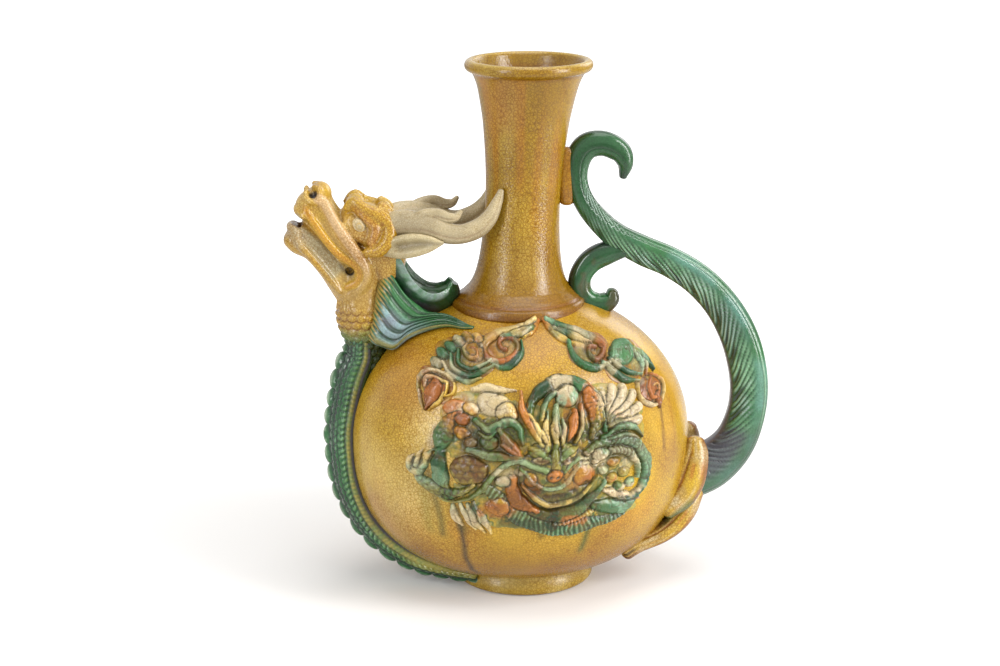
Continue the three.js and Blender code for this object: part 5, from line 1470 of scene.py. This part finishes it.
def makeEars():
    for face, name in flanks:
        def leaf(angle, share):
            # a lens with a hollow on its outer side
            u, v = np.cos(angle), np.sin(angle)
            dish = 1.25 * bell(u, -0.05, 0.45) * rise(share, 0.08, 0.3) * (1 - rise(share, 0.6, 0.95))
            return u, np.where(v * face > 0, v * (1 - dish), v)
        stations = [(x, y * face, z, a, d) for x, y, z, a, d in ear["stations"]]
        form = carried(stations, ear["steps"], ear["sides"], leaf)
        rings = form["rings"]
        u = form["u"]
        hollowPart = bell(u, -0.05, 0.4) * (np.sin(form["angle"]) * face > 0)
        tint = glazeAndLightCoats(plain(rings, "bone") * [1, 1.02, 0.95],
            ("cream", 0.5 * np.abs(u) ** 2),
            ("bone", 0.8 * hollowPart * rise(form["share"], 0.1, 0.3), 0.62))
        putPiece("ear" + name.title(), closedSkin(rings, tint), creamGlaze,
                 ["ear_" + name])


# manes

corner = head["corner"]
napeMane = {"steps": 220, "sides": 120,
            "stations": [(corner[0] + x, 0, corner[1] + z, a, d)
                         for x, z, a, d in ((20, 12, 6.5, 10.5), (25, 2, 8, 12.4), (29, -6, 8.4, 13.4),
                                            (34.5, -13.6, 8.6, 14.2), (41.6, -18.8, 8.6, 14.4),
                                            (49.2, -19.6, 8, 13), (55, -16.4, 6.2, 10.6),
                                            (57.6, -11.4, 3.2, 7.4))]}
lowerMane = {
    "upper": [
        (-83, 7, 191), (-75, 10.6, 183), (-68, 13.8, 172.6), (-60.4, 15.2, 165.8), (-53.7, 17.6, 162.6),
        (-44.2, 22.8, 162.2), (-36.5, 29.6, 159.6), (-30.4, 34.8, 157)],
    "root": [(-93, 9, 150), (-86.4, 15.4, 144.6), (-81, 17.4, 142.6)],
    "onBody": [
        (-73, 18.6, 1.6), (-65, 20, 1.6), (-54, 24, 1.3), (-44.5, 28.4, 1.1), (-37, 33.8, 0.9),
        (-31.4, 35.8, 0.8)],
    "strands": 6.3, "thickness": 3.8, "swell": 2.4, "rows": 200, "columns": 140}


def makeNapeMane():
    def gutter(angle, share):
        # a thin ribbon whose two edges stand up
        c, s = np.cos(angle), np.sin(angle)
        return 0.34 * c + 0.5 * np.maximum(c, 0) * (1 - s ** 2) - 0.95 * np.abs(s) ** 2.6 + 0.4, s
    form = carried(napeMane["stations"], napeMane["steps"], napeMane["sides"], gutter, dome=0.25)
    c, v = np.cos(form["angle"]), form["v"]
    top = rise(-c, -0.1, 0.2)
    strands = np.sin(v * 15 + 1.6 * np.sin(form["run"] / 9)) * top
    rings = swollen(form, 0.28 * strands + 0.5 * bell(np.abs(v), 0.93, 0.07))
    rim = rise(np.abs(v), 0.84, 0.95)
    comb = 0.5 + 0.5 * np.sin(form["run"] / 1.3 + 14 * v)
    tint = glazeAndLightCoats(plain(rings, "green"),
        ("darkGreen", 0.75 * rise(-strands, 0.1, 0.9)),
        ("leaf", 0.5 * rise(clouds(rings, 13, 4), 0.45, 0.7) * top),
        ("sky", 0.7 * top * (1 - rise(np.abs(v), 0.1, 0.45)) * rise(form["share"], 0.35, 0.6), 0.9),
        ("darkGreen", 0.8 * (1 - top) * (1 - rim)),
        ("lavender", 0.7 * (1 - top) * (1 - rim) * rise(clouds(rings, 12, 2), 0.4, 0.6), 0.45),
        ("sky", 0.7 * rim * rise(clouds(rings, 11, 6) + 0.12 * comb, 0.4, 0.62), 0.8),
        ("leaf", 0.45 * rim * rise(comb, 0.7, 1)))
    putPiece("napeMane", closedSkin(rings, tint), greenGlaze, ["nape_mane"])


def makeLowerManes():
    rows, columns = lowerMane["rows"], lowerMane["columns"]
    share = np.linspace(0, 1, rows)[:, None]
    v = np.linspace(0, 1, columns)
    for face, name in flanks:
        hand = np.array([1, face, 1])
        upper = throughPoints(np.array(lowerMane["upper"]) * hand, share[:, 0])
        laid = [onShoulder(x, y * face, lift) for x, y, lift in lowerMane["onBody"]]
        lower = throughPoints(np.vstack([np.array(lowerMane["root"]) * hand, laid]), share[:, 0])
        # a fan ruled between its two borders, swollen in the middle, whose strands meet at the tip
        sheet = upper[:, None] * (1 - v[:, None]) + lower[:, None] * v[:, None]
        normal = unit(np.cross(np.gradient(sheet, axis=0), np.gradient(sheet, axis=1)))
        normal = normal * np.sign(np.sum(normal * [0, face, 0.4]))
        q = sheet * [1, face, 1]
        bend = v + 0.05 * np.sin(share * 7 + v * 3) + 0.05 * (cloud(q, 12, 5) - 0.5)
        strand = np.sin(2 * np.pi * lowerMane["strands"] * bend * (1 + 0 * share))
        fine = np.sin(2 * np.pi * lowerMane["strands"] * 2.7 * bend + 1)
        border = bell(v, 0.93, 0.045)
        edge = (1 - np.abs(2 * v - 1) ** 5) ** 0.5
        slim = 1 - 0.72 * rise(share, 0.5, 1)
        lift = (lowerMane["swell"] * np.sin(np.pi * v) + 0.5 * lowerMane["thickness"]) * edge * slim
        lift = lift * rise(share, 0.02, 0.2) - 1.4 * (1 - rise(share, 0, 0.12))
        strands = (0.55 * strand + 0.1 * fine) * (1 - border) * edge * slim * rise(share, 0.03, 0.2)
        top = sheet + normal * (lift + strands + 0.8 * border * slim)[..., None]
        under = sheet - normal * (0.5 * lowerMane["thickness"] * edge * slim + 0.05)[..., None]
        rings = np.concatenate([top, under[:, ::-1]], axis=1)
        pale = rise(v, 0.28, 0.5) * (1 - rise(share + 0.25 * (1 - v), 0.5, 0.75)) * rise(share, 0.1, 0.2)
        pale = pale * rise(clouds(q, 13, 9) + 0.25 * v, 0.4, 0.62)
        tint = glazeAndLightCoats(plain(top, "green"),
            ("darkGreen", 0.9 * rise(-strand, -0.1, 0.7)),
            ("leaf", 0.5 * rise(strand, 0.5, 1) * rise(clouds(q, 15, 4), 0.35, 0.6)),
            ("sky", 0.8 * pale * rise(strand + 0.4 * fine, -1.0, 0.4), [0.8, 0.95, 1.05]),
            ("lavender", 0.5 * pale * rise(clouds(q, 11, 7), 0.45, 0.65)),
            ("olive", 0.9 * border * rise(share, 0.08, 0.2)),
            ("straw", 0.8 * (1 - rise(share + 0.05 * fine, 0.06, 0.17))))
        # the underside against the body in ink: painted shade
        dark = plain(under, "ink")
        putPiece("lowerMane" + name.title(), closedSkin(rings, np.concatenate([tint, dark], axis=1)),
                 greenGlaze, ["lower_mane_" + name])


# trunk: the dragon's breast down the body, with a crest of beads

trunk = {
    "height": 14.0, "halfWidth": 13.0, "beads": 19, "beadRadius": 5.6, "beadRise": 3.6, "scaleWidth": 4.2,
    "scaleHeight": 2.4, "steps": 620, "sides": 144,
    "levels": [
        (156, 0, 0.8, 0.5, 30), (150, 0, 0.94, 0.8, 22.6), (143, 0, 1, 0.92, 14.6), (134, 0, 1, 1, 6.4),
        (122, 0, 1, 1.1, 2.5), (107, 0, 1, 1.06, 0), (91, 0, 1, 1.02, 0), (75, 0, 1, 1.0, 0),
        (60, 0, 1, 1, 0), (46, -0.8, 0.98, 0.96, 0), (34, -2.4, 0.94, 0.92, 0), (24, -5.5, 0.84, 0.84, 0),
        (16, -11, 0.66, 0.7, 0), (11, -18, 0.48, 0.46, 0), (9.4, -25, 0.34, 0.3, 0)]}


def onLeft(z, y, lift):
    # the body's left side at a height and a distance across it
    radius = float(bodyRadius(np.array(float(z))))
    x = body["lean"] - radius * np.sqrt(max(1 - (y / (radius * flattening)) ** 2, 0))
    return np.array([x - lift, y, z])


def makeTrunk():
    stations = [(*onLeft(z, y, lift), wide * trunk["halfWidth"], up * trunk["height"])
                for z, y, wide, up, lift in trunk["levels"]]

    def breast(angle, share):
        # steep sides and a flat crest outside, shallow against the body
        u, v = np.cos(angle), np.sin(angle)
        return np.sign(u) * np.abs(u) ** 0.72, np.where(v > 0, np.abs(v) ** 0.72 * 0.86, 0.3 * v)
    form = carried(stations, trunk["steps"], trunk["sides"], breast, side=bodyNormal, dome=0.3)
    run, u, wide = form["run"], form["u"], form["size"][:, :1] / trunk["halfWidth"]
    top = rise(np.sin(form["angle"]), 0.0, 0.05)
    # bands lie along the side by their height over the body: groove, cord, rib, scales, beads
    level = form["v"] / 0.86 * trunk["height"]
    pitch = form["length"] / trunk["beads"]
    place = run / pitch - 0.3 * np.abs(u) + 0.12 * (noiseOver(run, 0, 11.0, 6) - 0.5)
    bead = np.hypot((place - np.round(place)) / 0.52, u * trunk["halfWidth"] / trunk["beadRadius"])
    beadDome = np.sqrt(np.clip(1 - bead ** 2, 0, 1))
    # the cord by the body widens downwards into a strip and pushes the rib up
    grow = rise(form["share"], 0.4, 0.8)
    cord = np.exp(-((level - 2.2 - 1.5 * grow) / (1.0 + 1.9 * grow)) ** 4)
    rib = bell(level - 5.4 - 2.4 * grow, 0, 1.5)
    twist = 0.5 + 0.5 * np.cos(2 * np.pi * (run / 2.7 + 0.12 * level))
    scallop = 0.5 + 0.5 * np.cos(2 * np.pi * (run / 3.4 - 0.1 * level))
    level = level + 0.7 * (noiseOver(run, 4 * np.sign(u), 8.0, 3) - 0.5)
    bow = scaleBow(run / trunk["scaleWidth"], (level - 7.0) / trunk["scaleHeight"])
    scaled = rise(level, 6.9, 7.4) * (1 - rise(beadDome, 0, 0.2))
    height = (trunk["beadRise"] * beadDome + 0.9 * cord * (0.75 + 0.25 * twist)
              + rib * (0.5 + 0.8 * scallop) + 0.55 * scaled * (1 - rise(bow, 0.45, 0.95))
              - 0.6 * bell(level - 3.7 - 2.4 * grow, 0, 0.3)
              - 0.5 * bell(level - 7.1 - 2.0 * grow, 0, 0.3) - 0.9 * (1 - rise(level, 0.4, 1.2))) * top
    rings = swollen(form, height * (0.35 + 0.65 * wide))
    ending = rise(form["share"], 0.74, 0.88)
    tint = glazeAndLightCoats(plain(rings, "green") * 0.7,
        ("darkGreen", 0.8 * rise(clouds(rings, 12, 3), 0.35, 0.6)),
        ("green", 0.8 * scaled * (1 - rise(bow, 0.5, 0.8))),
        # pale glaze at the scale roots, partly a painted highlight
        ("mint", 0.55 * scaled * (1 - rise(bow, 0.2, 0.5)) * rise(clouds(rings, 16, 8), 0.45, 0.6), 0.8),
        ("ink", 0.75 * scaled * bell(bow, 0.88, 0.1)),
        ("green", rise(beadDome, 0.1, 0.5), 0.9),
        # pale crowns on the beads: a painted highlight
        ([0.46, 0.56, 0.42], 0.7 * rise(beadDome, 0.45, 0.95) * rise(clouds(rings, 7, 8), 0.3, 0.5)),
        ("ink", 0.5 * rise(level, 9.5, 10.5) * (1 - rise(beadDome, 0.0, 0.3))),
        # the rib paler: pale glaze, and partly a painted highlight
        ("leaf", 0.8 * rib * rise(scallop, 0.1, 0.7), [1.5, 1.15, 1]),
        ("mint", 0.5 * rib * rise(scallop, 0.6, 0.95) * rise(clouds(rings, 20, 5), 0.4, 0.6)),
        ("olive", 0.95 * cord * (0.6 + 0.4 * twist), [1.15, 1.1, 1.2]),
        ("leaf", 0.4 * cord * rise(clouds(rings, 7, 12), 0.5, 0.65)),
        ("ink", 0.7 * bell(level - 3.7 - 2.4 * grow, 0, 0.35)),
        ("olive", 0.7 * ending * rise(clouds(rings, 8, 6), 0.25, 0.5) * (1 - rise(level, 9, 12)), 1.2),
        (glaze["ink"] + glaze["lavender"] * 0.12, 0.92 * (1 - rise(level, 0.4, 1.0))
         * rise(np.sin(form["angle"]), -0.5, -0.1)))
    putPiece("dragonTrunk", closedSkin(rings, tint), greenGlaze, ["dragon_trunk"])


# hind legs

hindLegs = {
    "steps": 150, "sides": 72,
    "thigh": [
        (82, 3, 13.4, 5.6, 4.8), (76, 3, 15, 8, 6.2), (68, 2, 17, 9.4, 7), (60, 0.8, 19.4, 9.8, 7.2),
        (52, -2, 22, 9, 6.8), (45, -6.4, 25.4, 5.6, 5)],
    "foot": [
        (51, 8.6, 12, 6, 5.6), (42, 7.4, 16, 7, 6.4), (35, 5, 19.5, 6.8, 6.2), (29.6, 1, 22.5, 5.8, 5.6),
        (25, -5.4, 24.5, 5, 5), (20.6, -7, 26, 4.6, 4.6)]}


def makeHindLegs():
    for face, name in flanks:
        for limb, node in (("thigh", "thigh_"), ("foot", "hind_foot_")):
            stations = [(outlineX(1, z, lift), y * face, z, a, d) for z, lift, y, a, d in hindLegs[limb]]
            form = carried(stations, hindLegs["steps"], hindLegs["sides"], flatSided(0.94))
            u, run, share = form["u"], form["run"], form["share"]
            fold = bell(u - 0.35 - 0.3 * share, 0, 0.07) * rise(share, 0.05, 0.2)
            toes = (limb == "foot") * (0.5 + 0.5 * np.cos(3 * np.pi * u)) * rise(share, 0.8, 0.95)
            rings = swollen(form, -0.8 * fold - 0.9 * toes)
            # cream towards both ends of each lobe: a painted highlight
            lobeEndHighlight = bell(share, 0.14, 0.1) + bell(share, 0.86, 0.1)
            runs = cloud(np.stack([4.5 * form["angle"], 0.09 * run, 0 * run], -1), 1.0, 5)
            tint = glazeAndLightCoats(plain(rings, "amber"),
                ("straw", rise(clouds(rings, 10, 4), 0.35, 0.6)),
                ("cream", 0.6 * lobeEndHighlight * rise(clouds(rings, 7, 9), 0.4, 0.6)),
                ("orange", 0.6 * rise(runs, 0.6, 0.8)),
                ("cream", 0.6 * (1 - rise(runs, 0.25, 0.42))),
                ("rust", 0.85 * np.clip(fold + rise(u, 0.6, 0.95) + rise(-u, 0.45, 0.8), 0, 1)),
                ("ink", 0.75 * toes * rise(share, 0.86, 0.95)),
                ("cream", 0.6 * lobeEndHighlight * rise(form["v"] * np.sign(u + 0.2), 0.0, 0.6), [1, 0.95, 0.9]))
            if limb == "thigh":
                tint = mix(tint, glaze["green"], 0.7 * rise(share, 0.6, 0.8) * rise(-u, 0.2, 0.7))
            else:
                tint = mix(tint, glaze["darkGreen"],
                           0.75 * rise(u, 0.45, 0.8) * (1 - rise(share, 0.45, 0.7)))
            putPiece(("thigh" if limb == "thigh" else "hindFoot") + name.title(), closedSkin(rings, tint),
                     amberGlaze, [node + name])


makeHead()
makeEyes()
makeHorns()
makeEars()
makeNapeMane()
makeLowerManes()
makeTrunk()
makeHindLegs()


# camera, lamps and floor

view = {"turn": -4.0, "pitch": 15.22, "distance": 1185.5, "focal": 2090.5, "aside": -13.75,
        "height": 144.42, "imageWidth": 1000, "sensor": 36.0}


def makeCamera():
    turn, pitch = np.radians(view["turn"]), np.radians(view["pitch"])
    back = np.array([np.sin(turn) * np.cos(pitch), -np.cos(turn) * np.cos(pitch), np.sin(pitch)])
    right = np.array([np.cos(turn), np.sin(turn), 0.0])
    target = np.array([0, 0, view["height"]]) + right * view["aside"]
    data = bpy.data.cameras.new("camera")
    data.sensor_width = view["sensor"]
    data.lens = view["focal"] / view["imageWidth"] * view["sensor"]
    data.clip_start, data.clip_end = 0.05, 50
    camera = bpy.data.objects.new("camera", data)
    camera.location = Vector((target + back * view["distance"]) / 1000 + vesselAxis)
    camera.rotation_euler = Vector(-back).to_track_quat("-Z", "Y").to_euler()
    bpy.context.scene.collection.objects.link(camera)
    bpy.context.scene.camera = camera


lamps = {
    "left": {"at": (-0.85, -0.70, 0.55), "size": (0.22, 1.0), "power": 6.0},
    "right": {"at": (0.90, -0.55, 0.55), "size": (0.30, 1.1), "power": 14.0},
    "top": {"at": (0.10, -0.05, 1.30), "size": (1.1, 0.9), "power": 8.0},
    "behind": {"at": (1.0, 0.95, 0.85), "size": (0.9, 0.7), "power": 5.0},
}


def makeLamp(name, lamp):
    data = bpy.data.lights.new(name, "AREA")
    data.shape = "RECTANGLE"
    data.size, data.size_y = lamp["size"]
    data.energy = lamp["power"]
    made = bpy.data.objects.new(name, data)
    made.location = lamp["at"]
    aim = Vector((0, 0, 0.14)) - Vector(lamp["at"])
    made.rotation_euler = aim.to_track_quat("-Z", "Y").to_euler()
    bpy.context.scene.collection.objects.link(made)


studio = {"soft": 0.42, "softColour": (1.0, 0.99, 0.975, 1), "paper": (0.86, 0.85, 0.84, 1), "half": 6.0,
          "fadeFrom": 0.12, "fadeTo": 0.85, "liftNear": 0.10, "liftFar": 0.80}
white = (1, 1, 1, 1)


def makeWorld():
    # soft light on the object; white for the camera, for gloss and through glass
    world = bpy.data.worlds.new("studio")
    bpy.context.scene.world = world
    world.use_nodes = True
    node, feed, arithmetic, _ = nodeBench(world.node_tree)
    rays = node("ShaderNodeLightPath").outputs
    seen = arithmetic("MAXIMUM", rays["Is Camera Ray"], rays["Is Glossy Ray"])
    mixer = node("ShaderNodeMixShader")
    feed(mixer.inputs[0], arithmetic("MAXIMUM", seen, rays["Is Transmission Ray"]))
    for socket, colour, strength in ((1, studio["softColour"], studio["soft"]), (2, white, 1.0)):
        light = node("ShaderNodeBackground")
        feed(light.inputs[0], colour)
        feed(light.inputs[1], strength)
        feed(mixer.inputs[socket], light.outputs[0])
    feed(node("ShaderNodeOutputWorld").inputs[0], mixer.outputs[0])


def makeFloor():
    # a sheet of paper that fades to plain white away from the vessel
    half = studio["half"]
    mesh = bpy.data.meshes.new("floor")
    mesh.from_pydata([(-half, -half, 0), (half, -half, 0), (half, half, 0), (-half, half, 0)], [],
                     [(0, 1, 2, 3)])
    floor = bpy.data.objects.new("floor", mesh)
    bpy.context.scene.collection.objects.link(floor)
    material = bpy.data.materials.new("floorPaper")
    material.use_nodes = True
    node, feed, arithmetic, between = nodeBench(material.node_tree)
    paper = node("ShaderNodeBsdfDiffuse")
    feed(paper.inputs[0], studio["paper"])
    far = node("ShaderNodeVectorMath", operation="LENGTH")
    feed(far.inputs[0], node("ShaderNodeTexCoord").outputs["Object"])
    fade = between(far.outputs["Value"], studio["fadeFrom"], studio["fadeTo"], studio["liftNear"],
                   studio["liftFar"])
    lift = node("ShaderNodeEmission")
    feed(lift.inputs[0], white)
    feed(lift.inputs[1],
         arithmetic("MULTIPLY", node("ShaderNodeLightPath").outputs["Is Camera Ray"], fade))
    both = node("ShaderNodeAddShader")
    feed(both.inputs[0], paper.outputs[0])
    feed(both.inputs[1], lift.outputs[0])
    feed(node("ShaderNodeOutputMaterial").inputs[0], both.outputs[0])
    mesh.materials.append(material)


makeCamera()
for lampName, lamp in lamps.items():
    makeLamp(lampName, lamp)
makeWorld()
makeFloor()
bpy.context.scene.view_settings.view_transform = "Standard"
print("camera, lamps and floor ready")
